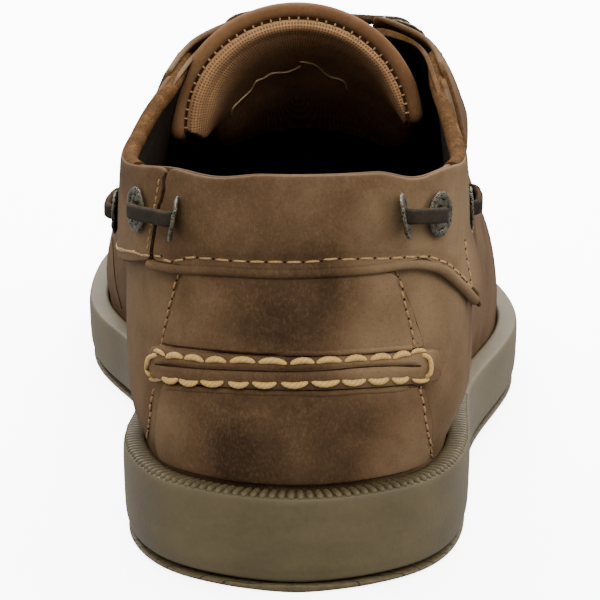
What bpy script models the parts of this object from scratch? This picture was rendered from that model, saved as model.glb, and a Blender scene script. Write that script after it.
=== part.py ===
"""A man's boat shoe for the right foot, standing on its sole.

The shoe points along +Y with its outer side towards +X and the floor at z = 0.
Every piece is laid out from one last: a closed outline for the sole, and a
family of arches that rise from that outline to a ridge over the foot.
"""

import math

import bmesh
import bpy
import numpy as np
from mathutils import Matrix, Vector

# Driving sizes, in metres
LENGTH = 0.300
BALL_WIDTH = 0.1092
HEEL_FAN = 0.047
TOE_FAN = 0.052
FIT_GAP = 0.0003

# Sole
RIM_HEIGHT = 0.0200
WALL_TAPER = 0.0004
TREAD_THICKNESS = 0.0022
TREAD_SETBACK = 0.0006
EDGE_ROUND = 0.0008
PARTING_HEIGHT = 0.0024
PARTING_STEP = 0.0003
LEDGE_WIDTH = 0.0052
LEDGE_RISE = 0.0003
CUP_DEPTH = 0.0075
RIB_PITCH = 0.0020
RIB_HEIGHT = 0.0008
RIB_SPAN = 0.0034
RIB_REACH = 0.105

# Upper
RIDGE_HEIGHT = 0.1250
SIDE_BULGE = 0.0050
COLLAR_HEIGHT = 0.0800
THROAT_HALF = 0.0125
LEATHER = 0.0020
OVERLAY = 0.0015
SEAM_RAISE = 0.0020
SEAM_WIDTH = 0.0040
INSOLE_THICKNESS = 0.0042
BAND_PUFF = 0.0030
TONGUE_RADIUS = 0.0250
TONGUE_PAD = 0.0050

# Lace and eyelets
EYELET_OUTER = 0.0048
EYELET_HOLE = 0.0024
EYELET_HEIGHT = 0.0009
EYELET_REACH = 0.0800
THROAT_EYELET_INSET = 0.0078
LACE_WIDTH = 0.0032
LACE_THICKNESS = 0.0017
LACE_LIFT = 0.0008
LACE_BOW = 0.0006
LACE_ARCH = 0.0004

# Outline of the sole at its rim, from the heel round the outer side to the
# toe and back along the inner side: share of length, share of ball width.
OUTLINE = (
    (0.000, -0.014),
    (0.028, 0.183),
    (0.079, 0.284),
    (0.157, 0.329),
    (0.250, 0.339),
    (0.350, 0.367),
    (0.440, 0.422),
    (0.520, 0.469),
    (0.607, 0.494),
    (0.700, 0.475),
    (0.783, 0.427),
    (0.860, 0.353),
    (0.927, 0.248),
    (0.973, 0.110),
    (1.000, -0.064),
    (0.987, -0.211),
    (0.950, -0.339),
    (0.893, -0.431),
    (0.817, -0.489),
    (0.733, -0.506),
    (0.650, -0.498),
    (0.573, -0.453),
    (0.493, -0.386),
    (0.400, -0.342),
    (0.307, -0.333),
    (0.227, -0.347),
    (0.157, -0.357),
    (0.079, -0.312),
    (0.028, -0.211),
)
TOE_TIP_ROW = 14

# Heights of the sole along its length: share of length, then the underside
# and the rim as shares of the rim's height at the heel.
SOLE_HEIGHTS = (
    (0.00, 0.0, 1.02),
    (0.26, 0.0, 1.0),
    (0.36, 0.07, 0.92),
    (0.46, 0.05, 0.86),
    (0.55, 0.0, 0.815),
    (0.73, 0.0, 0.8),
    (0.84, 0.1, 0.86),
    (0.94, 0.28, 1.01),
    (1.00, 0.4, 1.12),
)

# Arches of the last: share of length, ridge as a share of its height at the
# heel, squareness, bulge of the outer and of the inner side as shares of the
# side's bulge.
ARCHES = (
    (0.00, 1.0, 7.0, 0.36, 0.36),
    (0.06, 1.0, 7.0, 0.72, 0.64),
    (0.13, 0.984, 6.6, 0.72, 0.84),
    (0.20, 0.928, 5.2, 0.6, 0.96),
    (0.267, 0.868, 4.4, 0.52, 1.0),
    (0.333, 0.8336, 3.9, 0.56, 1.04),
    (0.367, 0.8176, 3.9, 0.56, 1.0),
    (0.400, 0.7968, 3.7, 0.52, 0.96),
    (0.430, 0.7616, 3.35, 0.42, 0.88),
    (0.470, 0.7072, 3.0, 0.32, 0.84),
    (0.54, 0.62, 2.6, 0.16, 0.6),
    (0.61, 0.552, 2.5, 0.08, 0.36),
    (0.68, 0.4976, 2.5, 0.08, 0.24),
    (0.76, 0.456, 2.6, 0.16, 0.2),
    (0.84, 0.424, 2.7, 0.2, 0.2),
    (1.00, 0.4, 2.7, 0.2, 0.2),
)
BULGE_KNEE = 0.13
RIDGE_MERGE = 0.0006

# Top line of the collar: share of length, share of the collar's height.
COLLAR = (
    (0.00, 1.08),
    (0.05, 1.07),
    (0.10, 1.0425),
    (0.15, 1.0225),
    (0.20, 1.0325),
    (0.24, 1.0575),
    (0.28, 1.0975),
    (0.32, 1.14),
    (0.35, 1.1675),
    (0.38, 1.205),
    (0.40, 1.24),
    (0.42, 1.2875),
)
# Half width of the throat: share of length, share of its named half.
THROAT = (
    (0.360, 1.16),
    (0.400, 1.056),
    (0.430, 0.976),
    (0.500, 1.08),
    (0.545, 1.08),
)
THROAT_END = 0.565
THROAT_ROUND = 0.020

# Hand-sewn seam round the apron: share of length, inset from the base as a
# share of the way to the ridge.
APRON_SEAM = (
    (0.00, 0.30),
    (0.54, 0.34),
    (0.62, 0.31),
    (0.72, 0.30),
    (0.83, 0.30),
    (1.00, 0.27),
)
APRON_START = 0.50

# Tongue, from its free edge forwards: share of length, drop of its crest
# below the ridge, radius, wrap on the inner and the outer side in degrees,
# thickness, shift towards the outer side. The drop, radius and shift are
# shares of the tongue's radius, the thickness is one of its pad.
TONGUE = (
    (0.354, -0.068, 1.104, 92.0, 84.0, 0.84, -0.088),
    (0.361, -0.092, 1.124, 94.0, 86.0, 1.32, -0.084),
    (0.378, -0.024, 1.124, 93.0, 85.0, 1.4, -0.076),
    (0.400, 0.056, 1.112, 84.0, 78.0, 1.24, -0.064),
    (0.440, 0.088, 1.144, 68.0, 64.0, 1.04, -0.056),
    (0.490, 0.136, 1.2, 56.0, 55.0, 0.88, -0.032),
    (0.540, 0.152, 1.32, 46.0, 46.0, 0.72, 0.0),
    (0.590, 0.136, 1.52, 36.0, 36.0, 0.6, 0.0),
    (0.620, 0.136, 1.68, 30.0, 30.0, 0.48, 0.0),
)
TONGUE_STEPS = 14

# Lower edge of the collar pieces: share of length, share of the collar's
# height.
BAND_EDGE = (
    (0.00, 0.835),
    (0.065, 0.81875),
    (0.10, 0.7875),
    (0.16, 0.75),
    (0.22, 0.74),
    (0.28, 0.8125),
    (0.34, 0.95),
)
# Lower edge of the heel band's tail on the outer side.
TAIL_EDGE = (
    (0.00, 0.835),
    (0.065, 0.84),
    (0.075, 0.825),
    (0.13, 0.7125),
    (0.185, 0.5975),
    (0.205, 0.5975),
)
COLLAR_ROWS = 5
BAND_START_TOP = 0.0146
BAND_START_LOW = 0.0198
TAIL_END = 0.205
PANEL_END = 0.318
STAY_END = 0.528
STAY_WIDTH = 0.0165
STAY_SEAT = 0.0012

# Heel pieces between the collar band and the sole.
HEEL_PANEL = 0.0012
HEEL_PANEL_TOP = 0.0256
HEEL_PANEL_STRIP = 0.0330
HEEL_PANEL_FOOT = 0.0395
HEEL_PANEL_SHIFT = -0.0017
STRIP_HEIGHT = 0.0446
STRIP_CROWN = 0.0016
STRIP_WIDTH = 0.0068
STRIP_RAISE = 0.0013
STRIP_REACH = 0.0368

# Eyelets on the collar: name, side (+1 outer, -1 inner), share of the reach
# from the heel, share of the collar's height, turn about the upright towards
# the side in degrees.
COLLAR_EYELETS = (
    ("inner_rear_a", -1, 0.3125, 0.94, 0.0),
    ("inner_rear_b", -1, 0.125, 0.9575, 34.0),
    ("outer_rear_a", 1, 0.2225, 0.94625, 0.0),
    ("outer_rear_b", 1, 0.1, 0.97, 34.0),
    ("inner_side_a", -1, 0.925, 0.8525, 0.0),
    ("inner_side_b", -1, 0.725, 0.845, 0.0),
    ("outer_side_a", 1, 1.0, 0.845, 0.0),
    ("outer_side_b", 1, 0.81875, 0.835, 0.0),
)
PUFF_SPREAD = 0.0050
# Throat eyelets: name, share of length.
THROAT_EYELETS = (
    ("top", 0.428),
    ("low", 0.488),
)
LACE_END_DEPTH = 0.0002

# How closely the stations stand along the length: share, relative density.
STATION_DENSITY = (
    (0.00, 1.7),
    (0.10, 1.1),
    (0.25, 0.9),
    (0.32, 1.6),
    (0.40, 1.3),
    (0.48, 1.0),
    (0.56, 1.7),
    (0.64, 0.9),
    (0.85, 0.9),
    (0.95, 1.3),
    (1.00, 1.6),
)
SIDE_STATIONS = 42
UPPER_LEVELS_BELOW = (0.0, 0.055, 0.14, 0.32, 0.62)
UPPER_LEVELS_ABOVE = (0.30, 0.60, 0.82, 1.0)


def clear_scene():
    for obj in list(bpy.data.objects):
        bpy.data.objects.remove(obj)


def collection(name):
    made = bpy.data.collections.new(name)
    bpy.context.scene.collection.children.link(made)
    return made


def material(name, colour, roughness, metallic=0.0):
    made = bpy.data.materials.new(name)
    made.use_nodes = True
    shader = made.node_tree.nodes["Principled BSDF"]
    shader.inputs["Base Color"].default_value = (*colour, 1.0)
    shader.inputs["Roughness"].default_value = roughness
    shader.inputs["Metallic"].default_value = metallic
    made.diffuse_color = (*colour, 1.0)
    return made


def smooth_table(table, column, size=1.0):
    """A curve through one column of a table that never overshoots a row."""
    rows = np.array([row[: column + 1] for row in table], float)
    x, y = rows[:, 0], rows[:, column] * size
    step = np.diff(x)
    slope = np.diff(y) / step
    tangent = np.zeros(len(x))
    for i in range(1, len(x) - 1):
        if slope[i - 1] * slope[i] > 0:
            a = 2 * step[i] + step[i - 1]
            b = step[i] + 2 * step[i - 1]
            tangent[i] = (a + b) / (a / slope[i - 1] + b / slope[i])
    tangent[0], tangent[-1] = slope[0], slope[-1]

    def at(value):
        value = min(max(float(value), x[0]), x[-1])
        i = min(int(np.searchsorted(x, value, side="right")) - 1, len(x) - 2)
        s = (value - x[i]) / step[i]
        return float(
            (1 + 2 * s) * (1 - s) ** 2 * y[i]
            + s * (1 - s) ** 2 * step[i] * tangent[i]
            + s * s * (3 - 2 * s) * y[i + 1]
            + s * s * (s - 1) * step[i] * tangent[i + 1]
        )

    return at


def closed_spline(points, per_span=40):
    """A closed, evenly flowing curve through the points, sampled densely."""
    points = np.array(points, float)
    count = len(points)
    chord = np.linalg.norm(np.roll(points, -1, axis=0) - points, axis=1) ** 0.5
    system = np.zeros((count, count))
    right = np.zeros((count, 2))
    for i in range(count):
        before, after = chord[i - 1], chord[i]
        system[i, i - 1] = after
        system[i, i] = 2 * (before + after)
        system[i, (i + 1) % count] = before
        right[i] = 3 * (
            after * (points[i] - points[i - 1]) / before
            + before * (points[(i + 1) % count] - points[i]) / after
        )
    tangent = np.linalg.solve(system, right)
    samples = []
    for i in range(count):
        j = (i + 1) % count
        for s in np.arange(per_span) / per_span:
            samples.append(
                (1 + 2 * s) * (1 - s) ** 2 * points[i]
                + s * (1 - s) ** 2 * chord[i] * tangent[i]
                + s * s * (3 - 2 * s) * points[j]
                + s * s * (s - 1) * chord[i] * tangent[j]
            )
    return np.array(samples)


class Outline:
    """The rim of the sole. A place on it is u: 0 at the heel, +1 at the toe
    along the outer side, -1 at the toe along the inner side."""

    def __init__(self):
        per_span = 40
        curve = closed_spline([(x, y) for y, x in OUTLINE], per_span)
        tip = TOE_TIP_ROW * per_span
        tip = tip - per_span + int(np.argmax(curve[tip - per_span : tip + per_span, 1]))
        low, high = curve.min(axis=0), curve.max(axis=0)
        curve = (curve - low) / (high - low) - 0.5
        curve = curve * (BALL_WIDTH, LENGTH)
        heel = int(np.argmin(curve[:, 1]))
        curve = np.roll(curve, -heel, axis=0)
        tip = (tip - heel) % len(curve)
        self.outer = curve[: tip + 1]
        self.inner = np.vstack([curve[tip:], curve[:1]])[::-1]
        along = np.linalg.norm(np.diff(self.outer, axis=0), axis=1)
        self.travel = np.concatenate([[0.0], np.cumsum(along)])
        self.reach = float(self.travel[-1])

    def y_at(self, u):
        return float(np.interp(abs(u) * self.reach, self.travel, self.outer[:, 1]))

    def u_at(self, distance):
        """The place on the outer side that far forward of the heel."""
        y = distance - LENGTH / 2
        return float(np.interp(y, self.outer[:, 1], self.travel)) / self.reach

    def x_at(self, side, y):
        curve = self.outer if side >= 0 else self.inner
        return float(np.interp(y, curve[:, 1], curve[:, 0]))

    def point(self, u):
        side = 1 if u >= 0 else -1
        y = self.y_at(u)
        return np.array([self.x_at(side, y), y])

    def inward(self, u):
        step = 0.004
        low, high = u - step, u + step
        ahead = self.point(self._wrap(high)) - self.point(self._wrap(low))
        ahead /= np.linalg.norm(ahead)
        return np.array([-ahead[1], ahead[0]])

    @staticmethod
    def _wrap(u):
        if u > 1:
            return u - 2
        if u < -1:
            return u + 2
        return u

    def inset(self, u, distance):
        return self.point(u) + self.inward(u) * distance


clear_scene()
outline = Outline()
underside_height = smooth_table(SOLE_HEIGHTS, 1, RIM_HEIGHT)
rim_height = smooth_table(SOLE_HEIGHTS, 2, RIM_HEIGHT)
ridge_height = smooth_table(ARCHES, 1, RIDGE_HEIGHT)
squareness = smooth_table(ARCHES, 2)
outer_bulge = smooth_table(ARCHES, 3, SIDE_BULGE)
inner_bulge = smooth_table(ARCHES, 4, SIDE_BULGE)
collar_height = smooth_table(COLLAR, 1, COLLAR_HEIGHT)
throat_gap = smooth_table(THROAT, 1, THROAT_HALF)
apron_inset = smooth_table(APRON_SEAM, 1)


def share_of(y):
    return y / LENGTH + 0.5


def ledge_top(y):
    return rim_height(share_of(y)) + LEDGE_RISE


def cup_floor(y):
    return rim_height(share_of(y)) - CUP_DEPTH


def wall_foot(y):
    return underside_height(share_of(y)) + TREAD_THICKNESS


def spine_x(y):
    return 0.5 * (outline.x_at(1, y) + outline.x_at(-1, y))


def soft_clamp(value, low, high, blend=0.010):
    """Clamps with rounded corners, so that the arches fan out gently."""
    value = low + blend * np.logaddexp(0, (value - low) / blend)
    return high - blend * np.logaddexp(0, (high - value) / blend)


class Arch:
    """One arch of the last at a place u on the outline."""

    def __init__(self, u):
        self.side = 1 if u >= 0 else -1
        self.base = outline.inset(u, LEDGE_WIDTH + FIT_GAP)
        y = outline.y_at(u)
        share = share_of(y)
        self.share = share
        low, high = -LENGTH / 2 + HEEL_FAN, LENGTH / 2 - TOE_FAN
        centre_y = float(soft_clamp(y, low, high))
        self.centre = np.array([spine_x(centre_y), centre_y])
        self.reach = float(np.linalg.norm(self.centre - self.base))
        self.inward = (self.centre - self.base) / self.reach
        self.foot = ledge_top(y)
        self.rise = ridge_height(share_of(centre_y)) - self.foot
        self.power = squareness(share)
        self.bulge = (outer_bulge if self.side > 0 else inner_bulge)(share)

    def at(self, angle):
        """The point that far up the arch, from 0 at the base to pi/2."""
        angle = min(max(angle, 0.0), math.pi / 2)
        up = math.sin(angle) ** (2 / self.power)
        across = 1 - max(math.cos(angle), 0.0) ** (2 / self.power)
        swell = math.sin(min(up / BULGE_KNEE, 1.0) * math.pi / 2) * (1 - up**4)
        travel = self.reach * across - self.bulge * swell
        flat = self.base + self.inward * travel
        return np.array([flat[0], flat[1], self.foot + self.rise * up])

    def angle_at_height(self, z):
        up = min(max((z - self.foot) / self.rise, 0.0), 1.0)
        return math.asin(min(up ** (self.power / 2), 1.0))

    def angle_below(self, angle, share):
        """The angle at a share of the height that another angle reaches."""
        up = math.sin(angle) ** (2 / self.power) * share
        return math.asin(min(up ** (self.power / 2), 1.0))

    def angle_at_gap(self, gap):
        left = min(max(gap / self.reach, 0.0), 1.0)
        return math.acos(min(left ** (self.power / 2), 1.0))

    def angle_at_inset(self, share):
        return math.acos((1 - share) ** (self.power / 2))

    def top(self):
        """The angle of the free edge: collar, throat, or the closed ridge."""
        if self.share >= THROAT_END:
            return math.pi / 2
        start = THROAT_END - THROAT_ROUND
        gap = throat_gap(min(self.share, start))
        if self.share > start:
            past = (self.share - start) / THROAT_ROUND
            gap *= math.sqrt(max(1 - past * past, 0.0))
        at_throat = self.angle_at_gap(gap)
        if self.share >= COLLAR[-1][0]:
            return at_throat
        at_collar = self.angle_at_height(collar_height(self.share))
        blend = 0.03
        return -blend * float(np.logaddexp(-at_throat / blend, -at_collar / blend))


def arch_normal(u, angle):
    """The outward direction of the last's surface."""
    du, da = 0.003, 0.02
    low, high = max(angle - da, 0.0), min(angle + da, math.pi / 2)
    along = Arch(outline._wrap(u + du)).at(angle) - Arch(outline._wrap(u - du)).at(angle)
    arch = Arch(u)
    upward = arch.at(high) - arch.at(low)
    normal = np.cross(along, upward)
    return normal / np.linalg.norm(normal)


def on_upper(u, angle, lift=0.0):
    return Arch(u).at(angle) + arch_normal(u, angle) * lift


def side_places(count):
    """Places along one side, closer together where the form turns fast. One
    of them lies just where the throat ends."""
    density = smooth_table(STATION_DENSITY, 1)
    fine = np.linspace(0, 1, 1201)
    weight = np.array([density(share_of(outline.y_at(u))) for u in fine])
    travel = np.concatenate([[0.0], np.cumsum((weight[1:] + weight[:-1]) / 2)])
    places = np.interp(np.linspace(0, travel[-1], count + 1), travel, fine)
    for share in (THROAT_END, THROAT_END - THROAT_ROUND * 0.35):
        u = outline.u_at(share * LENGTH)
        places[int(np.argmin(abs(places - u)))] = u
    return places


PLACES = side_places(SIDE_STATIONS)
RING = [float(u) for u in PLACES] + [-float(u) for u in PLACES[-2:0:-1]]


def mesh_object(name, bm, home, finish, smooth=None):
    bm.normal_update()
    mesh = bpy.data.meshes.new(name)
    bm.to_mesh(mesh)
    bm.free()
    obj = bpy.data.objects.new(name, mesh)
    obj.data.materials.append(finish)
    home.objects.link(obj)
    if smooth is not None:
        mesh.shade_smooth()
        mesh.set_sharp_from_angle(angle=math.radians(smooth))
    return obj


def strip_cap(bm, ring, flip):
    """Fills a ring of paired stations with a ladder of faces across it."""
    count = len(ring)
    for i in range(count // 2):
        a, b = ring[i], ring[i + 1]
        c, d = ring[(count - i - 1) % count], ring[(count - i) % count]
        corners = [a, b, c, d]
        face = [v for k, v in enumerate(corners) if v not in corners[:k]]
        if flip:
            face.reverse()
        bm.faces.new(face)


def bridge(bm, low, high, closed=True):
    """Joins two rows of equal length with quads facing out."""
    count = len(low)
    for i in range(count if closed else count - 1):
        j = (i + 1) % count
        bm.faces.new([low[i], low[j], high[j], high[i]])


def ring_at(bm, distance, height):
    """A ring of vertices inset from the rim, at a height that follows y."""
    made = []
    for u in RING:
        x, y = outline.inset(u, distance)
        made.append(bm.verts.new((x, y, height(outline.y_at(u)))))
    return made


def rib_zone(u):
    return abs(u) * outline.reach < RIB_REACH


def ribbed_ring(bm, coarse, distance, crest):
    """A ring that rises and falls once for each rib round the heel. It holds
    one list of vertices for each step of the coarse ring."""
    spans = []
    count = len(coarse)
    first = [None] * count
    for i, u in enumerate(RING):
        x, y = outline.inset(u, distance)
        first[i] = bm.verts.new((x, y, rim_height(share_of(outline.y_at(u)))))
    for i, u in enumerate(RING):
        j = (i + 1) % count
        v = RING[j]
        span = [first[i]]
        if rib_zone(u) and rib_zone(v):
            ribs = max(round(abs(v - u) * outline.reach / RIB_PITCH), 1)
            for k in range(1, 2 * ribs):
                w = u + (v - u) * k / (2 * ribs)
                x, y = outline.inset(w, distance)
                z = rim_height(share_of(outline.y_at(w)))
                span.append(bm.verts.new((x, y, z + crest * (k % 2))))
        span.append(first[j])
        spans.append(span)
    return first, spans


def make_sole(home, finish):
    """The rubber unit: a cup with a sloping wall and a ribbed ledge."""
    bm = bmesh.new()

    def wall(share, extra=0.0):
        return lambda y: (1 - share) * wall_foot(y) + share * rim_height(share_of(y)) + extra

    parting = WALL_TAPER + PARTING_STEP
    rings = [
        ring_at(bm, WALL_TAPER + 2 * EDGE_ROUND, wall(0)),
        ring_at(bm, parting + EDGE_ROUND / 3, wall(0, EDGE_ROUND)),
        ring_at(bm, parting, wall(0, PARTING_HEIGHT)),
        ring_at(bm, WALL_TAPER, wall(0, PARTING_HEIGHT + 2 * PARTING_STEP)),
        ring_at(bm, WALL_TAPER * 0.35, wall(0.60)),
        ring_at(bm, 0.0, wall(1, -EDGE_ROUND)),
        ring_at(bm, EDGE_ROUND * 0.6, wall(1)),
    ]
    strip_cap(bm, rings[0], flip=True)
    for low, high in zip(rings, rings[1:]):
        bridge(bm, low, high)
    margin = (LEDGE_WIDTH - RIB_SPAN) / 2
    outer, outer_spans = ribbed_ring(bm, rings[-1], margin, RIB_HEIGHT * 0.8)
    inner, inner_spans = ribbed_ring(bm, rings[-1], margin + RIB_SPAN, RIB_HEIGHT)
    ledge = ring_at(bm, LEDGE_WIDTH, ledge_top)
    floor = ring_at(bm, LEDGE_WIDTH, cup_floor)
    count = len(RING)
    for i in range(count):
        j = (i + 1) % count
        low, high = outer_spans[i], inner_spans[i]
        bm.faces.new([rings[-1][i], rings[-1][j], *reversed(low)])
        for k in range(len(low) - 1):
            bm.faces.new([low[k], low[k + 1], high[k + 1], high[k]])
        bm.faces.new([*high, ledge[j], ledge[i]])
    bridge(bm, ledge, floor)
    strip_cap(bm, floor, flip=False)
    return mesh_object("sole_unit", bm, home, finish, smooth=40)


def make_tread(home, finish):
    """The darker walking layer under the unit, set in from its wall."""
    bm = bmesh.new()

    def under(y):
        return underside_height(share_of(y))

    low = ring_at(bm, (WALL_TAPER + TREAD_SETBACK) + EDGE_ROUND, under)
    edge = ring_at(bm, (WALL_TAPER + TREAD_SETBACK), lambda y: under(y) + EDGE_ROUND)
    high = ring_at(bm, (WALL_TAPER + TREAD_SETBACK), lambda y: wall_foot(y) - FIT_GAP)
    strip_cap(bm, low, flip=True)
    bridge(bm, low, edge)
    bridge(bm, edge, high)
    strip_cap(bm, high, flip=False)
    return mesh_object("tread", bm, home, finish, smooth=40)


def make_insole(home, finish):
    """The foot bed, which lies in the cup inside the upper."""
    bm = bmesh.new()
    edge = LEDGE_WIDTH + 2 * FIT_GAP + LEATHER

    def under(y):
        return cup_floor(y) + FIT_GAP

    low = ring_at(bm, edge, under)
    rim = ring_at(bm, edge, lambda y: under(y) + INSOLE_THICKNESS - EDGE_ROUND)
    high = ring_at(bm, edge + EDGE_ROUND, lambda y: under(y) + INSOLE_THICKNESS)
    strip_cap(bm, low, flip=True)
    bridge(bm, low, rim)
    bridge(bm, rim, high)
    strip_cap(bm, high, flip=False)
    return mesh_object("insole", bm, home, finish, smooth=40)


def seam_angles(u):
    """The lower foot, crest and upper foot of the raised apron seam."""
    arch = Arch(u)
    crest = arch.angle_at_inset(apron_inset(arch.share))
    crest = min(crest, 0.80 * arch.top())
    length = np.linalg.norm(arch.at(crest + 0.02) - arch.at(crest - 0.02)) / 0.04
    half = SEAM_WIDTH / 2 / length
    return crest - half, crest, crest + half


def seam_strength(share):
    """Fades the raised seam out towards the throat."""
    past = (share - APRON_START) / 0.03
    return min(max(past, 0.0), 1.0)


def upper_column(u):
    """The points of the upper's outer face up one arch."""
    arch = Arch(u)
    low, crest, high = seam_angles(u)
    column = [np.array([*arch.base, cup_floor(outline.y_at(u)) + FIT_GAP])]
    column += [arch.at(arch.angle_below(low, step)) for step in UPPER_LEVELS_BELOW]
    column.append(arch.at(low))
    lift = SEAM_RAISE * seam_strength(arch.share)
    column.append(on_upper(u, crest, lift) if lift else arch.at(crest))
    top = arch.top()
    column.append(arch.at(high))
    column += [arch.at(high + (top - high) * step) for step in UPPER_LEVELS_ABOVE]
    return column


def make_upper(home, finish):
    """The leather body: one hollow wall, open at the collar, the throat and
    underneath, with the raised seam of the apron as a step in it."""
    bm = bmesh.new()
    columns = [[bm.verts.new(p) for p in upper_column(u)] for u in RING]
    count = len(columns)
    for i in range(count):
        left, right = columns[i], columns[(i + 1) % count]
        for k in range(len(left) - 1):
            bm.faces.new([left[k], right[k], right[k + 1], left[k + 1]])
    bmesh.ops.remove_doubles(bm, verts=bm.verts, dist=RIDGE_MERGE)
    bmesh.ops.dissolve_degenerate(bm, edges=bm.edges, dist=0.00001)
    obj = mesh_object("upper", bm, home, finish, smooth=45)
    shell = obj.modifiers.new("wall", "SOLIDIFY")
    shell.thickness = LEATHER
    shell.offset = -1.0
    shell.use_even_offset = True
    shell.thickness_clamp = 0.8
    return obj


SEAT = FIT_GAP * 1.4


def overlay(name, columns, thickness, home, finish, seat=SEAT):
    """A leather piece laid on the upper, from columns of (u, angle, lift of
    its outer face). Its inner face follows the upper at the seat's gap."""
    bm = bmesh.new()
    outer, inner = [], []
    for column in columns:
        outer.append([bm.verts.new(on_upper(u, a, seat + thickness + lift))
                      for u, a, lift in column])
        inner.append([bm.verts.new(on_upper(u, a, seat)) for u, a, _ in column])
    for i in range(len(columns) - 1):
        for k in range(len(columns[0]) - 1):
            j, m = i + 1, k + 1
            bm.faces.new([outer[i][k], outer[j][k], outer[j][m], outer[i][m]])
            bm.faces.new([inner[i][k], inner[i][m], inner[j][m], inner[j][k]])
        for k, way in ((0, -1), (-1, 1)):
            edge = [outer[i][k], outer[i + 1][k], inner[i + 1][k], inner[i][k]]
            bm.faces.new(edge[::way])
    for i, way in ((0, 1), (-1, -1)):
        for k in range(len(columns[0]) - 1):
            edge = [outer[i][k], outer[i][k + 1], inner[i][k + 1], inner[i][k]]
            bm.faces.new(edge[::way])
    return mesh_object(name, bm, home, finish, smooth=45)


def places_between(first, last):
    """The upper's own stations between two places, with both of the ends."""
    room = 0.0016 / outline.reach
    inside = [u for u in sorted(RING) if first + room < u < last - room]
    return [float(first), *inside, float(last)]


def place_of(side, distance):
    return side * outline.u_at(distance)


def height_rows(u, low, high, rows, lift=lambda u, z: 0.0):
    """Rows of one column between two heights above the floor."""
    arch = Arch(u)
    column = []
    for step in np.linspace(0, 1, rows):
        z = low + (high - low) * step
        column.append((u, arch.angle_at_height(z), lift(u, z)))
    return column


def puff(u, z):
    """The leather that the lace pinches up beside a rear eyelet."""
    total = 0.0
    for _, side, reach, level, turn in COLLAR_EYELETS:
        if turn:
            distance, height = reach * EYELET_REACH, level * COLLAR_HEIGHT
            away = (u - place_of(side, distance)) * side * outline.reach
            away += EYELET_OUTER * 0.6
            spread = PUFF_SPREAD**2
            total += math.exp(-(away**2 + (z - height) ** 2 * 0.4) / spread)
    return BAND_PUFF * total


def make_collar_pieces(home, finish):
    """The band round the heel with its pointed tail, and the two pieces that
    carry the lace on along the collar."""
    band_edge = smooth_table(BAND_EDGE, 1, COLLAR_HEIGHT)
    tail_edge = smooth_table(TAIL_EDGE, 1, COLLAR_HEIGHT)
    seam = FIT_GAP * 1.5 / outline.reach
    tail = outline.u_at(TAIL_END * LENGTH)
    panel = outline.u_at(PANEL_END * LENGTH)
    seam_low, seam_top = outline.u_at(BAND_START_LOW), outline.u_at(BAND_START_TOP)

    def column(u, edge, lift=lambda u, z: 0.0):
        share = share_of(outline.y_at(u))
        return height_rows(u, edge(share), collar_height(share), COLLAR_ROWS, lift)

    def slanted(apart, beside, share):
        """A column along the folded seam, which leans with its height, or
        one that stands a share of the way to the upright one beside it."""
        made = []
        for k, step in enumerate(np.linspace(0, 1, COLLAR_ROWS)):
            u = -(seam_low + (seam_top - seam_low) * step) - apart
            made.append(column(u + (beside - u) * share, band_edge, puff)[k])
        return made

    inside = places_between(-seam_top, tail)[1:]
    band = [slanted(0.0, inside[0], share) for share in (0.0, 0.33, 0.67)]
    band += [column(u, tail_edge if u > 0 else band_edge, puff) for u in inside]
    overlay("collar_band", band, OVERLAY, home, finish)
    inside = places_between(-panel, -seam_low)[:-1]
    piece = [column(u, band_edge) for u in inside]
    piece += [slanted(seam, inside[-1], share) for share in (0.67, 0.33, 0.0)]
    overlay("collar_inner", piece, OVERLAY, home, finish)
    piece = [column(u, band_edge) for u in places_between(tail + seam, panel)]
    overlay("collar_outer", piece, OVERLAY, home, finish)


def make_eyestays(home, finish):
    """The two pieces beside the throat that carry its eyelets."""
    start = PANEL_END * LENGTH + FIT_GAP * 2
    for name, side in (("outer", 1), ("inner", -1)):
        columns = []
        for u in places_between(place_of(1, start), place_of(1, STAY_END * LENGTH)):
            u *= side
            arch = Arch(u)
            top = arch.top()
            length = np.linalg.norm(arch.at(top) - arch.at(top - 0.1)) / 0.1
            low = top - STAY_WIDTH / length
            columns.append([(u, a, 0.0) for a in np.linspace(low, top, 6)])
        if side < 0:
            columns.reverse()
        overlay("eyestay_" + name, columns, OVERLAY, home, finish, seat=STAY_SEAT)


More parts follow.
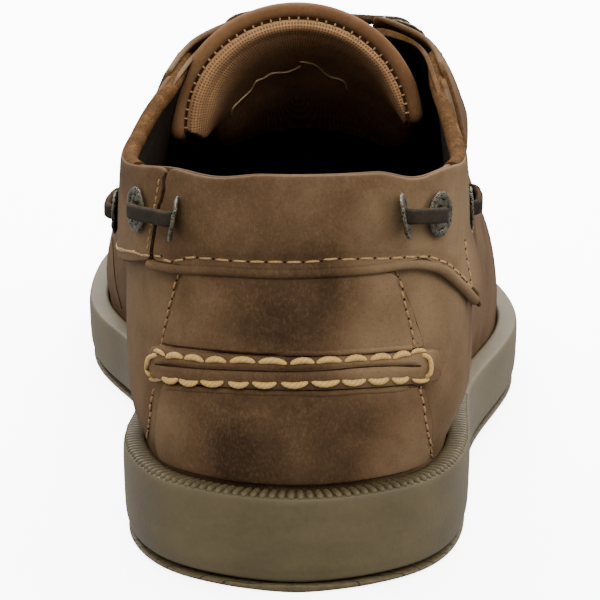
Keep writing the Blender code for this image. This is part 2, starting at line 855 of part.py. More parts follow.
def make_heel_pieces(home, finish):
    """The counter panel in two parts and the raised pleat between them."""
    band_edge = smooth_table(BAND_EDGE, 1, COLLAR_HEIGHT)

    def columns(reach_low, reach_high, bottom, top, rows, count, lift=lambda row: 0.0):
        made = []
        for step in np.linspace(-1, 1, count):
            column = []
            for row in np.linspace(0, 1, rows):
                reach = step * (reach_low + (reach_high - reach_low) * row)
                u = (reach + HEEL_PANEL_SHIFT) / outline.reach
                z = bottom(u) + (top(u) - bottom(u)) * row
                column.append((u, Arch(u).angle_at_height(z), lift(row)))
            made.append(column)
        return made

    def strip_edge(offset):
        """The pleat's edge, which arches up a little over the heel's middle."""
        def height(u):
            away = (u * outline.reach - HEEL_PANEL_SHIFT) / STRIP_REACH
            return STRIP_HEIGHT + STRIP_CROWN * max(1 - away * away, 0.0) + offset
        return height

    def under_band(u):
        return band_edge(share_of(outline.y_at(u))) - SEAT

    def foot(u):
        return ledge_top(outline.y_at(u)) + RIB_HEIGHT * 2

    def pleat(row):
        return STRIP_RAISE * (1 - 0.55 * abs(2 * row - 1))

    half = STRIP_WIDTH / 2
    top = columns(HEEL_PANEL_STRIP, HEEL_PANEL_TOP, strip_edge(half + SEAT), under_band, 4, 15)
    low = columns(HEEL_PANEL_FOOT, HEEL_PANEL_STRIP, foot, strip_edge(-half - SEAT), 5, 15)
    strip = columns(STRIP_REACH, STRIP_REACH, strip_edge(-half), strip_edge(half), 5, 19, pleat)
    overlay("heel_panel_top", top, HEEL_PANEL, home, finish)
    overlay("heel_panel_low", low, HEEL_PANEL, home, finish)
    overlay("heel_strip", strip, HEEL_PANEL, home, finish)


def tongue_cap(bm, ring, flip):
    """Closes an arch's end with quads from its outer to its inner side."""
    count = len(ring)
    for i in range(count // 2 - 1):
        face = [ring[i], ring[i + 1], ring[count - i - 2], ring[count - i - 1]]
        bm.faces.new(face[::-1] if flip else face)


def make_tongue(home, finish):
    """The padded tongue: an arch that runs under the lace to the apron."""
    bm = bmesh.new()
    rings = []
    for share, drop, arc, inner, outer, pad, shift in TONGUE:
        y = share * LENGTH - LENGTH / 2
        radius, thickness = arc * TONGUE_RADIUS, pad * TONGUE_PAD
        centre_z = ridge_height(share) - drop * TONGUE_RADIUS - radius
        x = spine_x(y) + shift * TONGUE_RADIUS
        angles = np.linspace(math.radians(-inner), math.radians(outer), TONGUE_STEPS + 1)
        ring = []
        for depth, order in ((0.0, 1), (thickness, -1)):
            for k, angle in enumerate(angles[::order]):
                r = radius - depth
                end = k in (0, TONGUE_STEPS)
                if end:
                    r = radius - thickness * (0.25 if depth == 0.0 else 0.75)
                place = (x + r * math.sin(angle), y, centre_z + r * math.cos(angle))
                ring.append(bm.verts.new(place))
        rings.append(ring)
    for low, high in zip(rings, rings[1:]):
        bridge(bm, low, high)
    tongue_cap(bm, rings[0], flip=True)
    tongue_cap(bm, rings[-1], flip=False)
    return mesh_object("tongue", bm, home, finish, smooth=60)


def surface_frame(u, angle, turn, side):
    """Outward, forward and upward directions of the upper at a place, with
    the outward one turned about the upright towards the shoe's side."""
    out = Vector(arch_normal(u, angle))
    out.rotate(Matrix.Rotation(math.radians(turn) * side, 3, "Z"))
    along = Vector((0, 0, 1)).cross(out).normalized()
    if abs(out.z) > 0.6:
        along = Vector((0, 1, 0)) - out * out.y
        along.normalize()
    return out, along, out.cross(along)


def add_eyelet(name, place, out, home, finish):
    ring = (EYELET_OUTER + EYELET_HOLE) / 2
    rod = (EYELET_OUTER - EYELET_HOLE) / 2
    bpy.ops.mesh.primitive_torus_add(
        major_segments=14, minor_segments=4, major_radius=ring, minor_radius=rod
    )
    obj = bpy.context.object
    obj.name = obj.data.name = name
    flatten = Matrix.Diagonal((1, 1, EYELET_HEIGHT / 2 / rod, 1))
    turn = Vector((0, 0, 1)).rotation_difference(out).to_matrix().to_4x4()
    obj.data.transform(turn @ flatten)
    obj.location = place
    obj.data.materials.append(finish)
    obj.data.shade_smooth()
    for owner in list(obj.users_collection):
        owner.objects.unlink(obj)
    home.objects.link(obj)
    return obj


def ribbon(name, path, across, home, finish):
    """A flat lace of softened oblong section along a path of points."""
    bm = bmesh.new()
    path = [Vector(p) for p in path]
    half, flat = LACE_WIDTH / 2, LACE_THICKNESS / 2
    section = ((-1, -0.4), (-0.75, -1), (0.75, -1), (1, -0.4),
               (1, 0.4), (0.75, 1), (-0.75, 1), (-1, 0.4))
    rings = []
    for i, place in enumerate(path):
        ahead = path[min(i + 1, len(path) - 1)] - path[max(i - 1, 0)]
        ahead.normalize()
        wide = (across - ahead * across.dot(ahead)).normalized()
        thick = ahead.cross(wide)
        rings.append([bm.verts.new(place + wide * half * a + thick * flat * b)
                      for a, b in section])
    for low, high in zip(rings, rings[1:]):
        bridge(bm, low, high)
    bm.faces.new(rings[0][::-1])
    bm.faces.new(rings[-1])
    return mesh_object(name, bm, home, finish, smooth=50)


def lace_path(first, second):
    """A lace out of one eyelet's hole, over both rings and into the other."""
    clear = EYELET_HEIGHT / 2 + FIT_GAP * 1.5 + LACE_THICKNESS / 2

    def rise(place, out, other):
        toward = other - place
        toward = (toward - out * toward.dot(out)).normalized()
        steps = ((LACE_END_DEPTH, 0.0), (clear * 0.75, 0.08 * EYELET_OUTER),
                 (clear * 1.15, 0.42 * EYELET_OUTER), (clear * 1.15, 0.95 * EYELET_OUTER))
        return [place + out * up + toward * ahead for up, ahead in steps]

    (a, out_a), (b, out_b) = first, second
    return rise(a, out_a, b), rise(b, out_b, a)[::-1]


def make_collar_lace(home, metal, lace):
    """The eyelets of the collar and the lace that shows between each pair."""
    seats = {}
    for name, side, reach, level, turn in COLLAR_EYELETS:
        distance, height = reach * EYELET_REACH, level * COLLAR_HEIGHT
        u = place_of(side, distance)
        angle = Arch(u).angle_at_height(height)
        out, _, _ = surface_frame(u, angle, turn, side)
        lift = SEAT + OVERLAY + FIT_GAP + EYELET_HEIGHT / 2
        if turn:
            lift += puff(u, height) * 0.9 + EYELET_OUTER * math.sin(math.radians(turn)) * 0.5
        place = Vector(on_upper(u, angle, lift))
        add_eyelet("eyelet_" + name, place, out, home, metal)
        seats[name] = (place, out)
    for pair in ("inner_rear", "outer_rear", "inner_side", "outer_side"):
        start, end = lace_path(seats[pair + "_a"], seats[pair + "_b"])
        out = (seats[pair + "_a"][1] + seats[pair + "_b"][1]).normalized()
        middle = (start[-1] + end[0]) / 2 + out * LACE_ARCH
        ribbon("lace_" + pair, start + [middle] + end, Vector((0, 0, 1)), home, lace)


def make_throat_lace(home, metal, lace):
    """The eyelets beside the throat and the two crossings over the tongue."""
    for level, share in THROAT_EYELETS:
        ends = []
        for name, side in (("outer", 1), ("inner", -1)):
            u = place_of(side, share * LENGTH)
            arch = Arch(u)
            top = arch.top()
            length = np.linalg.norm(arch.at(top) - arch.at(top - 0.1)) / 0.1
            angle = top - THROAT_EYELET_INSET / length
            out = Vector(arch_normal(u, angle))
            lift = STAY_SEAT + OVERLAY + FIT_GAP + EYELET_HEIGHT / 2
            place = Vector(on_upper(u, angle, lift))
            add_eyelet("eyelet_%s_%s" % (name, level), place, out, home, metal)
            ends.append((place, out))
        start, end = lace_path(*ends)
        clear = LACE_THICKNESS / 2 + FIT_GAP * 4
        _, y, _ = (start[-1] + end[0]) / 2
        crest = ridge_height(share) - tongue_drop(share) + clear
        crest = max(crest, (start[-1].z + end[0].z) / 2 + LACE_LIFT)
        middle = Vector((spine_x(y), y, crest))
        quarter_a = start[-1].lerp(middle, 0.5)
        quarter_b = end[0].lerp(middle, 0.5)
        quarter_a.z += (middle.z - start[-1].z) * 0.25 + LACE_BOW
        quarter_b.z += (middle.z - end[0].z) * 0.25 + LACE_BOW
        path = start + [quarter_a, middle, quarter_b] + end
        ribbon("lace_crossing_" + level, path, Vector((0, 1, -0.5)).normalized(), home, lace)


tongue_drop = smooth_table(TONGUE, 1, TONGUE_RADIUS)
home = collection("boat_shoe")
rubber = material("sole_rubber", (0.20, 0.165, 0.10), 0.55)
dark_rubber = material("tread_rubber", (0.075, 0.060, 0.035), 0.75)
leather = material("oiled_leather", (0.14, 0.075, 0.038), 0.55)
lining = material("lining_mesh", (0.17, 0.085, 0.038), 0.85)
metal = material("aged_nickel", (0.30, 0.29, 0.25), 0.40, 0.9)
lace_leather = material("lace_leather", (0.065, 0.052, 0.040), 0.50)

make_sole(home, rubber)
make_tread(home, dark_rubber)
make_insole(home, lining)
make_upper(home, leather)
make_collar_pieces(home, leather)
make_eyestays(home, leather)
make_heel_pieces(home, leather)
make_tongue(home, leather)
make_collar_lace(home, metal, lace_leather)
make_throat_lace(home, metal, lace_leather)
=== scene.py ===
# %% [markdown]
# # A worn-in boat shoe, seen from behind its heel
#
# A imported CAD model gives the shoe's true sizes. This lesson dresses that model
# for a picture: soft leather over the hard panels, thread, lace, metal and
# rubber. We load the model first, because every piece is placed against it.

# %% Load the frame
import math

import bmesh
import bpy
import numpy as np
from mathutils import Euler, Matrix, Vector
from mathutils.bvhtree import BVHTree


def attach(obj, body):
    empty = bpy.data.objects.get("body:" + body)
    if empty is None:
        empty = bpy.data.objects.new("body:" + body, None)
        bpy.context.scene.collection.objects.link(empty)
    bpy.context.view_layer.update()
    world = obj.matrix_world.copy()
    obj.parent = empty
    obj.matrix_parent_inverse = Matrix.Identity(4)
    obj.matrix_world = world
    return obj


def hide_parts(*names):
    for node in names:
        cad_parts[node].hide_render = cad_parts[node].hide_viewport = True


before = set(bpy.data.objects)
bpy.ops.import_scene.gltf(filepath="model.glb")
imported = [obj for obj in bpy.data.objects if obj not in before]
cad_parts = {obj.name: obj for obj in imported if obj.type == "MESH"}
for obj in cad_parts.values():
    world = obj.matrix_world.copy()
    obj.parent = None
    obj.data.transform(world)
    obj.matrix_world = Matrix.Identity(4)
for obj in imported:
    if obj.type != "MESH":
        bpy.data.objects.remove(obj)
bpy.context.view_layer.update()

MM, UP = 0.001, Vector((0, 0, 1))

# %% [markdown]
# ## Camera
# The picture was taken from behind, a little above the heel, with a long lens
# that keeps the sole's sides almost parallel. The distance and the lens were
# found by laying the CAD outline over the picture.

# %% Camera
PHOTO = 600
LENS, SENSOR = 216.4, 36
EYE, DOWNWARDS = Vector((0, -0.85, 0.2263)), 13.22
GAZE = Euler((math.radians(90 - DOWNWARDS), 0, 0))
bpy.ops.object.camera_add(location=EYE, rotation=GAZE)
camera = bpy.context.object
camera.name = "camera"
camera.data.lens, camera.data.sensor_width = LENS, SENSOR
camera.data.clip_start = 0.01
bpy.context.scene.camera = camera


def photo_ray(px, py):
    """Where the picture's line of sight through a pixel starts and points."""
    pixel = SENSOR / LENS / PHOTO
    way = Vector(((px - PHOTO / 2) * pixel, (PHOTO / 2 - py) * pixel, -1))
    way.rotate(GAZE)
    return EYE, way.normalized()


print("camera at", tuple(EYE))

# %% [markdown]
# ## Floor and light
# A plain white floor, and soft boxes at both sides, in front and behind. The
# floor shines for the camera alone and sends no light back to the shoe.

# %% Floor and lights
WHITE = (1, 1, 1, 1)
FLOOR_GLOW, WORLD_GLOW = 6, 0.95
bpy.ops.mesh.primitive_plane_add(size=9, location=(0, 2.5, 0))
floor = bpy.context.object
floor.name = "floor"
pale = bpy.data.materials.new("pale_floor")
pale.use_nodes = True
paint = pale.node_tree.nodes["Principled BSDF"]
for name, value in {"Base Color": (0.93, 0.93, 0.93, 1), "Roughness": 0.9,
                    "Specular IOR Level": 0.1, "Emission Color": WHITE,
                    "Emission Strength": FLOOR_GLOW}.items():
    paint.inputs[name].default_value = value
floor.data.materials.append(pale)
floor.visible_diffuse = floor.visible_glossy = False
MIDDLE = (0, -0.02, 0.05)
for name, place, aim, size, power in (
        ("light_left", (-1.25, -0.25, 0.75), MIDDLE, (0.9, 1.2), 9),
        ("light_right", (1.25, -0.2, 0.75), MIDDLE, (0.9, 1.2), 19),
        ("light_back", (0, 1.05, 1.45), (0, 0.55, 0), (2.4, 1.2), 170),
        ("light_front", (0.1, -1.5, 1.1), MIDDLE, (1, 0.6), 37)):
    bpy.ops.object.light_add(type="AREA", location=place)
    lamp = bpy.context.object
    lamp.name, lamp.data.shape = name, "RECTANGLE"
    lamp.data.size, lamp.data.size_y = size
    lamp.data.energy = power
    way = Vector(aim) - Vector(place)
    lamp.rotation_euler = way.to_track_quat("-Z", "Y").to_euler()

world = bpy.data.worlds.new("studio")
bpy.context.scene.world = world
world.use_nodes = True
sky = world.node_tree.nodes["Background"]
sky.inputs["Color"].default_value = WHITE
sky.inputs["Strength"].default_value = WORLD_GLOW

# %% [markdown]
# ## A small language for materials
# Blender joins shader nodes by wires. Wrapping a socket in a class lets us write
# a material as ordinary sums, which is far shorter and easier to read.

# %% Wires
def srgb(red, green, blue):
    """A colour picked from a picture, from 0 to 255, as light for a shader."""
    def linear(value):
        value /= 255
        return value / 12.92 if value <= 0.04045 else ((value + 0.055) / 1.055) ** 2.4
    return (linear(red), linear(green), linear(blue), 1)


def sums(operation):
    """A wire's method for a sum, and the same with its two sides swapped."""
    return (lambda self, other: self.maths(operation, self, other),
            lambda self, other: self.maths(operation, other, self))


class Wire:
    """A socket in a material. Arithmetic on wires adds Math nodes."""

    def __init__(self, tree, socket):
        self.tree, self.socket = tree, socket

    def add(self, kind, settings=None, inputs=None, output=0):
        """Adds a node of any type: its settings, then its inputs."""
        node = self.tree.nodes.new(kind)
        for name, value in (settings or {}).items():
            if name == "stops":
                stops = node.color_ramp.elements
                while len(stops) < len(value):
                    stops.new(0.5)
                for stop, (place, colour) in zip(stops, value):
                    stop.position, stop.color = place, colour
            else:
                setattr(node, name, value)
        for name, value in (inputs or {}).items():
            if isinstance(value, Wire):
                self.tree.links.new(value.socket, node.inputs[name])
            else:
                node.inputs[name].default_value = value
        return Wire(self.tree, node.outputs[output])

    def maths(self, operation, *values):
        return self.add("ShaderNodeMath", {"operation": operation}, dict(enumerate(values)))

    __add__, __radd__ = sums("ADD")
    __sub__, __rsub__ = sums("SUBTRACT")
    __mul__, __rmul__ = sums("MULTIPLY")

    def sine(self):
        return self.maths("SINE", self)


def new_material(name):
    """A material and a wire with the place on the object."""
    made = bpy.data.materials.new(name)
    made.use_nodes = True
    coords = made.node_tree.nodes.new("ShaderNodeTexCoord")
    return made, Wire(made.node_tree, coords.outputs["Object"])


def surface(made, colour, rough, normal, specular=0.5, metallic=0):
    """Sets or wires the sockets of a material's surface and returns the material."""
    shader = made.node_tree.nodes["Principled BSDF"]
    for name, value in (("Base Color", colour), ("Roughness", rough), ("Normal", normal),
                        ("Specular IOR Level", specular), ("Metallic", metallic)):
        if isinstance(value, Wire):
            value.tree.links.new(value.socket, shader.inputs[name])
        else:
            shader.inputs[name].default_value = value
    return made


def stretched(place, x, y, z):
    return place.add("ShaderNodeMapping", {"vector_type": "POINT"},
                     {"Vector": place, "Scale": (x, y, z)})


def noise(place, scale, detail=4, rough=0.55, twist=0):
    return place.add("ShaderNodeTexNoise", {}, {
        "Vector": place, "Scale": scale, "Detail": detail,
        "Roughness": rough, "Distortion": twist})


def cells(place, scale):
    return place.add("ShaderNodeTexVoronoi", {}, {"Vector": place, "Scale": scale})


def between(value, low, high, to_low=0, to_high=1):
    """A smooth step from one value to another."""
    return value.add("ShaderNodeMapRange", {"interpolation_type": "SMOOTHSTEP"},
                     {0: value, 1: low, 2: high, 3: to_low, 4: to_high})


def blend(mask, low, high):
    """Mixes two colours by a mask."""
    return mask.add("ShaderNodeMix", {"data_type": "RGBA"},
                    {0: mask, 6: low, 7: high}, output=2)


def near(place, centre, reach):
    """1 at a place on the object, falling to 0 at an oval of that reach, all in mm."""
    for operation, by in (("SUBTRACT", [c * MM for c in centre]),
                          ("MULTIPLY", [1 / (r * MM) for r in reach])):
        place = place.add("ShaderNodeVectorMath", {"operation": operation}, {0: place, 1: by})
    far = place.add("ShaderNodeVectorMath", {"operation": "LENGTH"}, {0: place}, output=1)
    return between(far, 0.35, 1, 1, 0)


def bump(height, distance, strength):
    return height.add("ShaderNodeBump", {}, {
        "Height": height, "Distance": distance, "Strength": strength})


def axes(place):
    split = place.add("ShaderNodeSeparateXYZ", {}, {0: place})
    node = split.socket.node
    return [Wire(place.tree, node.outputs[i]) for i in range(3)]


def uv_axes(place):
    return axes(Wire(place.tree, place.socket.node.outputs["UV"]))


print("wires ready")

# %% [markdown]
# ## Oiled leather
# This leather is waxed and oiled. Where it bends or rubs, the oil moves away and
# the colour turns lighter, so we mix clouds of dark and light brown, then fine
# fibres and pores. The bump carries a soft grain and a few scratches.

# %% Oiled leather
BROWNS = ((42, 30, 20), (73, 55, 38), (99, 80, 58))
TAN = (114, 85, 54)
MATT = 0.02


def oiled_leather(name, tones=BROWNS, nap_tone=TAN, painted_light_spots=()):
    """Leather whose tone drifts in clouds; a painted light spot is (centre, reach, weight): a
    positive weight paints sheen, a negative one paints shade.
    """
    dark, body, light = [srgb(*tone) for tone in tones]
    made, place = new_material(name)
    clouds = noise(place, 24, 3, 0.5, 0.4)
    patches = noise(place, 75, 5, 0.6, 0.7)
    fine = noise(place, 620, 4, 0.65)
    fibres = noise(stretched(place, 1, 1, 0.6), 1900, 3, 0.6, 0.3)
    value = clouds * 0.75 + patches * 0.42 + fine * 0.16 - 0.165
    for centre, reach, weight in painted_light_spots:
        value = value + near(place, centre, reach) * weight
    colour = value.add("ShaderNodeValToRGB", {"stops": (
        (0.22, dark), (0.52, body), (0.86, light))}, {0: value})
    scuffs = between(patches * fibres, 0.24, 0.48)
    colour = blend(scuffs * 0.16, colour, light)
    nap = between(fibres, 0.44, 0.72)
    colour = blend(nap * 0.12, colour, srgb(*nap_tone))
    pores = between(cells(place, 1500), 0.1, 0.34)
    colour = blend((1 - pores) * 0.3, colour, dark)
    hairs = noise(stretched(place, 0.25, 0.25, 1.6), 420, 2, 0.5, 1.2)
    scratch = between(hairs, 0.72, 0.8)
    colour = blend(scratch * 0.08, colour, light)
    height = patches * 0.5 + fine * 0.35 + pores * 0.18 + fibres * 0.22 - scratch * 0.2
    rough = 0.56 + fine * 0.14 + scuffs * 0.1
    return surface(made, colour, rough, bump(height, 0.0003, 0.5), MATT)


def raw_edge(name, *tones):
    """The cut edge of the leather: dry, orange-brown and fibrous."""
    low, middle, high = [srgb(*tone) for tone in tones]
    made, place = new_material(name)
    fine = noise(place, 1900, 4, 0.7)
    clumps = noise(place, 260, 3, 0.6)
    value = fine * 0.8 + clumps * 0.4 - 0.12
    colour = value.add("ShaderNodeValToRGB", {"stops": (
        (0.25, low), (0.5, middle), (0.8, high))}, {0: value})
    return surface(made, colour, 0.92, bump(fine, 0.0003, 0.7), MATT)


def dark_matte(name, low, high):
    """The smooth dark lining inside the shoe, and the painted shade in needle holes, eyelet holes,
    seam gaps and the binding's groove.
    """
    made, place = new_material(name)
    fine = noise(place, 700, 4, 0.6)
    colour = blend(between(fine, 0.3, 0.7), srgb(*low), srgb(*high))
    return surface(made, colour, 0.85, bump(fine, 0.0003, 0.6), MATT)


# Painted light on the leather: spots with a negative weight paint shade down the middle of the
# heel, the others paint sheen on its sides.
leather = oiled_leather("oiled_leather", painted_light_spots=(
    ((-1, -148, 58), (20, 30, 22), -0.22), ((18, -142, 53), (15, 30, 17), 0.26),
    ((-24, -138, 60), (12, 30, 14), 0.14), ((40, -90, 40), (20, 70, 30), 0.12),
    ((34, -138, 66), (16, 40, 36), 0.3), ((-36, -132, 50), (14, 40, 40), 0.2),
    ((18, -146, 73), (13, 30, 15), 0.26), ((21, -142, 26), (12, 30, 14), 0.26),
    ((-26, -140, 26), (12, 30, 14), 0.14), ((0, -150, 28), (32, 50, 20), -0.3)))
edge = raw_edge("leather_edge", (38, 26, 15), (74, 52, 31), (108, 80, 50))
dark_edge = raw_edge("dark_leather_edge", (28, 20, 12), (58, 42, 26), (96, 74, 48))
collar_look = raw_edge("collar_edge_leather", (28, 18, 9), (62, 42, 22), (104, 74, 41))
lining = dark_matte("dark_matte", (13, 10, 7), (24, 17, 11))
print("leathers:", leather.name, edge.name, lining.name)

# %% [markdown]
# ## From hard panel to soft skin
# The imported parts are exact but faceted. A copy of a part, merged and turned to
# quads, can be smoothed by a Subdivision Surface. Its cut edges are found by
# looking through the wall: from a broad face the far side is one wall away.

# %% Skins
def pick(*pieces):
    """Selects only these pieces and makes the first one active."""
    bpy.ops.object.select_all(action="DESELECT")
    for piece in pieces:
        piece.select_set(True)
    bpy.context.view_layer.objects.active = pieces[0]


def mode(name):
    bpy.ops.object.mode_set(mode=name)


def tree_of(*pieces):
    """A search tree over the faces of some pieces."""
    points, faces = [], []
    for piece in pieces:
        start = len(points)
        points += [v.co.copy() for v in piece.data.vertices]
        faces += [[start + i for i in f.vertices] for f in piece.data.polygons]
    return BVHTree.FromPolygons(points, faces)


def new_piece(name, data):
    piece = bpy.data.objects.new(name, data)
    bpy.context.scene.collection.objects.link(piece)
    return piece


def wear(piece, *looks):
    """Adds looks to a piece, one for each of its slots."""
    for look in looks:
        piece.data.materials.append(look)


def skin_of(node, name):
    """A copy of a CAD node as one closed skin of quads."""
    piece = new_piece(name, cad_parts[node].data.copy())
    piece.data.materials.clear()
    pick(piece)
    bpy.ops.mesh.customdata_custom_splitnormals_clear()
    mode("EDIT")
    bpy.ops.mesh.select_all(action="SELECT")
    bpy.ops.mesh.remove_doubles(threshold=TINY)
    bpy.ops.mesh.tris_convert_to_quads(
        face_threshold=math.radians(60), shape_threshold=math.radians(100))
    mode("OBJECT")
    return piece


GRAIN, CUT, BACK = 0, 1, 2
FOLDED_BEHIND, UPWARDS = -0.104, 0.4
THICKEST, TINY = 0.0048, 0.00002
SPINE_BACK, SPINE_FRONT = -0.103, 0.098


def bent(degrees):
    """A test for two faces that meet at more than an angle."""
    return lambda a, b: a.normal.angle(b.normal) > math.radians(degrees)


def two_looks(a, b):
    return a.material_index != b.material_index


def crease_where(piece, amount, test):
    """Keeps the edges crisp whose two faces pass a test."""
    bm = bmesh.new()
    bm.from_mesh(piece.data)
    sharp = bm.edges.layers.float.get("crease_edge") or bm.edges.layers.float.new("crease_edge")
    for line in bm.edges:
        if len(line.link_faces) == 2 and test(*line.link_faces):
            line[sharp] = amount
    bm.to_mesh(piece.data)
    bm.free()


def sort_faces(piece):
    """Gives each face of a thin wall its slot: grain, cut edge or back."""
    bm = bmesh.new()
    bm.from_mesh(piece.data)
    tree = BVHTree.FromBMesh(bm)
    for face in bm.faces:
        centre, normal = face.calc_center_median(), face.normal
        _, _, _, deep = tree.ray_cast(centre - normal * TINY, -normal)
        spine = Vector((0, min(max(centre.y, SPINE_BACK), SPINE_FRONT), centre.z * 0.5))
        if deep is None or deep > THICKEST:
            face.material_index = CUT
        else:
            face.material_index = BACK if normal.dot(spine - centre) > 0 else GRAIN
    bm.to_mesh(piece.data)
    bm.free()


def fold_rear_edges(piece):
    """Behind the ankle the edge is folded over, so it shows the grain."""
    for face in piece.data.polygons:
        behind = face.center.y < FOLDED_BEHIND and face.normal.z > UPWARDS
        if face.material_index == CUT and behind:
            face.material_index = GRAIN


def soften(piece, levels):
    """Smooths a skin and shades it smooth."""
    smooth = piece.modifiers.new("smooth", "SUBSURF")
    smooth.levels = smooth.render_levels = levels
    pick(piece)
    bpy.ops.object.modifier_apply(modifier=smooth.name)
    bpy.ops.object.shade_smooth()


def settle(piece, slot, *nodes):
    """Hands a finished piece to the frame."""
    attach(piece, "root")
    if nodes:
        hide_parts(*nodes)
    print(piece.name, len(piece.data.polygons), "faces")


LEATHER_LEVELS = {"upper": 2, "collar_band": 3, "collar_inner": 3, "collar_outer": 3,
                  "eyestay_inner": 2, "eyestay_outer": 2, "heel_panel_low": 3,
                  "heel_panel_top": 3, "heel_strip": 3}
skins = {}
for node, levels in LEATHER_LEVELS.items():
    skin = skin_of(node, "leather_" + node)
    sort_faces(skin)
    crease_where(skin, 0.35, two_looks)
    soften(skin, levels)
    fold_rear_edges(skin)
    cut = dark_edge if node == "collar_band" or node.startswith("heel") else edge
    wear(skin, leather, cut, lining if node == "upper" else cut)
    skins[node] = skin
print({n: len(s.data.polygons) for n, s in skins.items()})

# %% [markdown]
# Worn leather settles. On the outer side it has pushed out over the sole, and
# the top of the heel sags beside its corners. Both are soft hills of a cosine.

# %% Set of the heel
BULGE, BULGE_MID, BULGE_REACH = 2.4, -104, 50
BULGE_HEIGHTS, BULGE_SHARES = (22, 36, 56, 67), (0, 1, 1, 0)
SAGS, SAG_DEEP, SAG_FRONT = ((24, 2.2, 9), (-17, 1.1, 10)), 9, -120


def hill(at, middle, reach):
    """A smooth hill: 1 in its middle and 0 from its reach on."""
    return 0.5 + 0.5 * math.cos(math.pi * min(abs(at - middle) / reach, 1))


heel_top = [v.co / MM for v in skins["collar_band"].data.vertices if v.co.y / MM < SAG_FRONT]
tops = [max(p.z for p in heel_top if abs(p.x - middle) < reach) for middle, _, reach in SAGS]
for name, skin in skins.items():
    for vertex in skin.data.vertices:
        x, y, z = vertex.co / MM
        if x > 0 and y < BULGE_MID + BULGE_REACH:
            share = np.interp(z, BULGE_HEIGHTS, BULGE_SHARES)
            share = share * share * (3 - 2 * share)
            vertex.co.x += BULGE * share * hill(y, BULGE_MID, BULGE_REACH) * MM
        if name in ("upper", "collar_band") and y < SAG_FRONT:
            for (middle, fall, reach), top in zip(SAGS, tops):
                near_top = min(max((z - top + SAG_DEEP) / SAG_DEEP, 0), 1)
                vertex.co.z -= fall * hill(x, middle, reach) * near_top ** 2 * MM
print("heel set: pushed out by", BULGE, "mm")

# %% [markdown]
# The band's tail droops on the outer side. Its lower edge is pulled down along
# the upper, and each point keeps its distance from the leather under it.

# %% Droop of the tail
DROOP_Y = (-136, -132, -124, -112, -105, -98, -92)
DROOP = (0, 2.6, 3.6, 3.6, 2.8, 0.9, 0)
EDGE_Y = (-150, -130.5, -127.5, -111, -94.5, -88.5)
EDGE_Z = (66.8, 67.2, 66, 57, 47.8, 47.8)
DROOP_HEIGHT = 9
under = tree_of(skins["upper"])
for vertex in skins["collar_band"].data.vertices:
    x, y, z = vertex.co / MM
    fall = np.interp(y, DROOP_Y, DROOP) * max(
        1 - max(z - np.interp(y, EDGE_Y, EDGE_Z), 0) / DROOP_HEIGHT, 0)
    if x > 0 and fall > 0:
        spot, out, _, _ = under.find_nearest(vertex.co)
        lift = (vertex.co - spot).dot(out)
        spot, out, _, _ = under.find_nearest(vertex.co - UP * fall * MM)
        vertex.co = spot + out * lift
print("tail lowered by up to", max(DROOP), "mm")

# %% [markdown]
# ## Finding places on the leather
# Thread and folds follow the leather. A place can be named by a pixel of the
# picture, and the camera's line through it finds the leather. From the sides and
# the top, straight lines do the same.

# %% Places on the leather
tree = tree_of(*skins.values())
NEAR_HALF, ASIDE, ABOVE = 0.05, 0.2, 0.3


def travel_along(points):
    """How far along a line each of its points lies."""
    return np.concatenate([[0], np.cumsum(np.linalg.norm(np.diff(points, axis=0), axis=1))])


def smooth_line(points, count):
    """Evenly spread points of a smooth line through the given ones."""
    points = np.array(points, float)
    travel = travel_along(points)
    slope = np.gradient(points, travel, axis=0)
    made = []
    for t in np.linspace(0, travel[-1], count):
        i = min(max(int(np.searchsorted(travel, t)) - 1, 0), len(points) - 2)
        step = travel[i + 1] - travel[i]
        s = (t - travel[i]) / step
        made.append((1 + 2 * s) * (1 - s) ** 2 * points[i] + s * (1 - s) ** 2 * step * slope[i]
                    + s * s * (3 - 2 * s) * points[i + 1] + s * s * (s - 1) * step * slope[i + 1])
    return made


def hits(lines):
    """Where straight lines, each a start and a way, first meet the leather."""
    found = [tree.ray_cast(start, way)[0] for start, way in lines]
    return [place for place in found if place is not None]


def seen(points, count=60):
    """A line on the leather through pixels of the picture."""
    found = hits(photo_ray(px, py) for px, py in smooth_line(points, count))
    return [place for place in found if place.y < NEAR_HALF]


def from_side(side, points, count=60):
    """A line on the leather through (y, z) places seen from one side, in mm."""
    return hits((Vector((side * ASIDE, y * MM, z * MM)), Vector((-side, 0, 0)))
                for y, z in smooth_line(points, count))


def from_above(points, count=80):
    """A line on the leather through (x, y) places seen from above, in mm."""
    return hits((Vector((x * MM, y * MM, ABOVE)), -UP) for x, y in smooth_line(points, count))


# %% Folds
def press(node, path, width, height, fade):
    """Sinks or raises the grain side of a skin softly along a path."""
    mesh = skins[node].data
    places = np.array([v.co[:] for v in mesh.vertices])
    normals = np.array([v.normal[:] for v in mesh.vertices])
    front = np.ones(len(places), bool)
    for face in mesh.polygons:
        if face.material_index != GRAIN:
            front[list(face.vertices)] = False
    path = np.array(path)
    low, high = path.min(axis=0) - 3 * width, path.max(axis=0) + 3 * width
    front &= np.all((places > low) & (places < high), axis=1)
    chosen = np.nonzero(front)[0]
    if not len(chosen):
        return
    start, step = path[:-1], np.diff(path, axis=0)
    length = (step ** 2).sum(axis=1)
    to = places[chosen][:, None, :] - start[None]
    share = np.clip((to * step[None]).sum(axis=2) / length[None], 0, 1)
    away = np.linalg.norm(to - share[..., None] * step[None], axis=2)
    nearest = away.argmin(axis=1)
    rows = np.arange(len(chosen))
    along = (nearest + share[rows, nearest]) / len(step)
    ends = np.clip(np.minimum(along, 1 - along) / fade, 0, 1) if fade else 1
    amount = height * np.exp(-(away[rows, nearest] / width) ** 2) * ends
    places[chosen] += normals[chosen] * amount[:, None]
    mesh.vertices.foreach_set("co", places.reshape(-1))
    mesh.update()


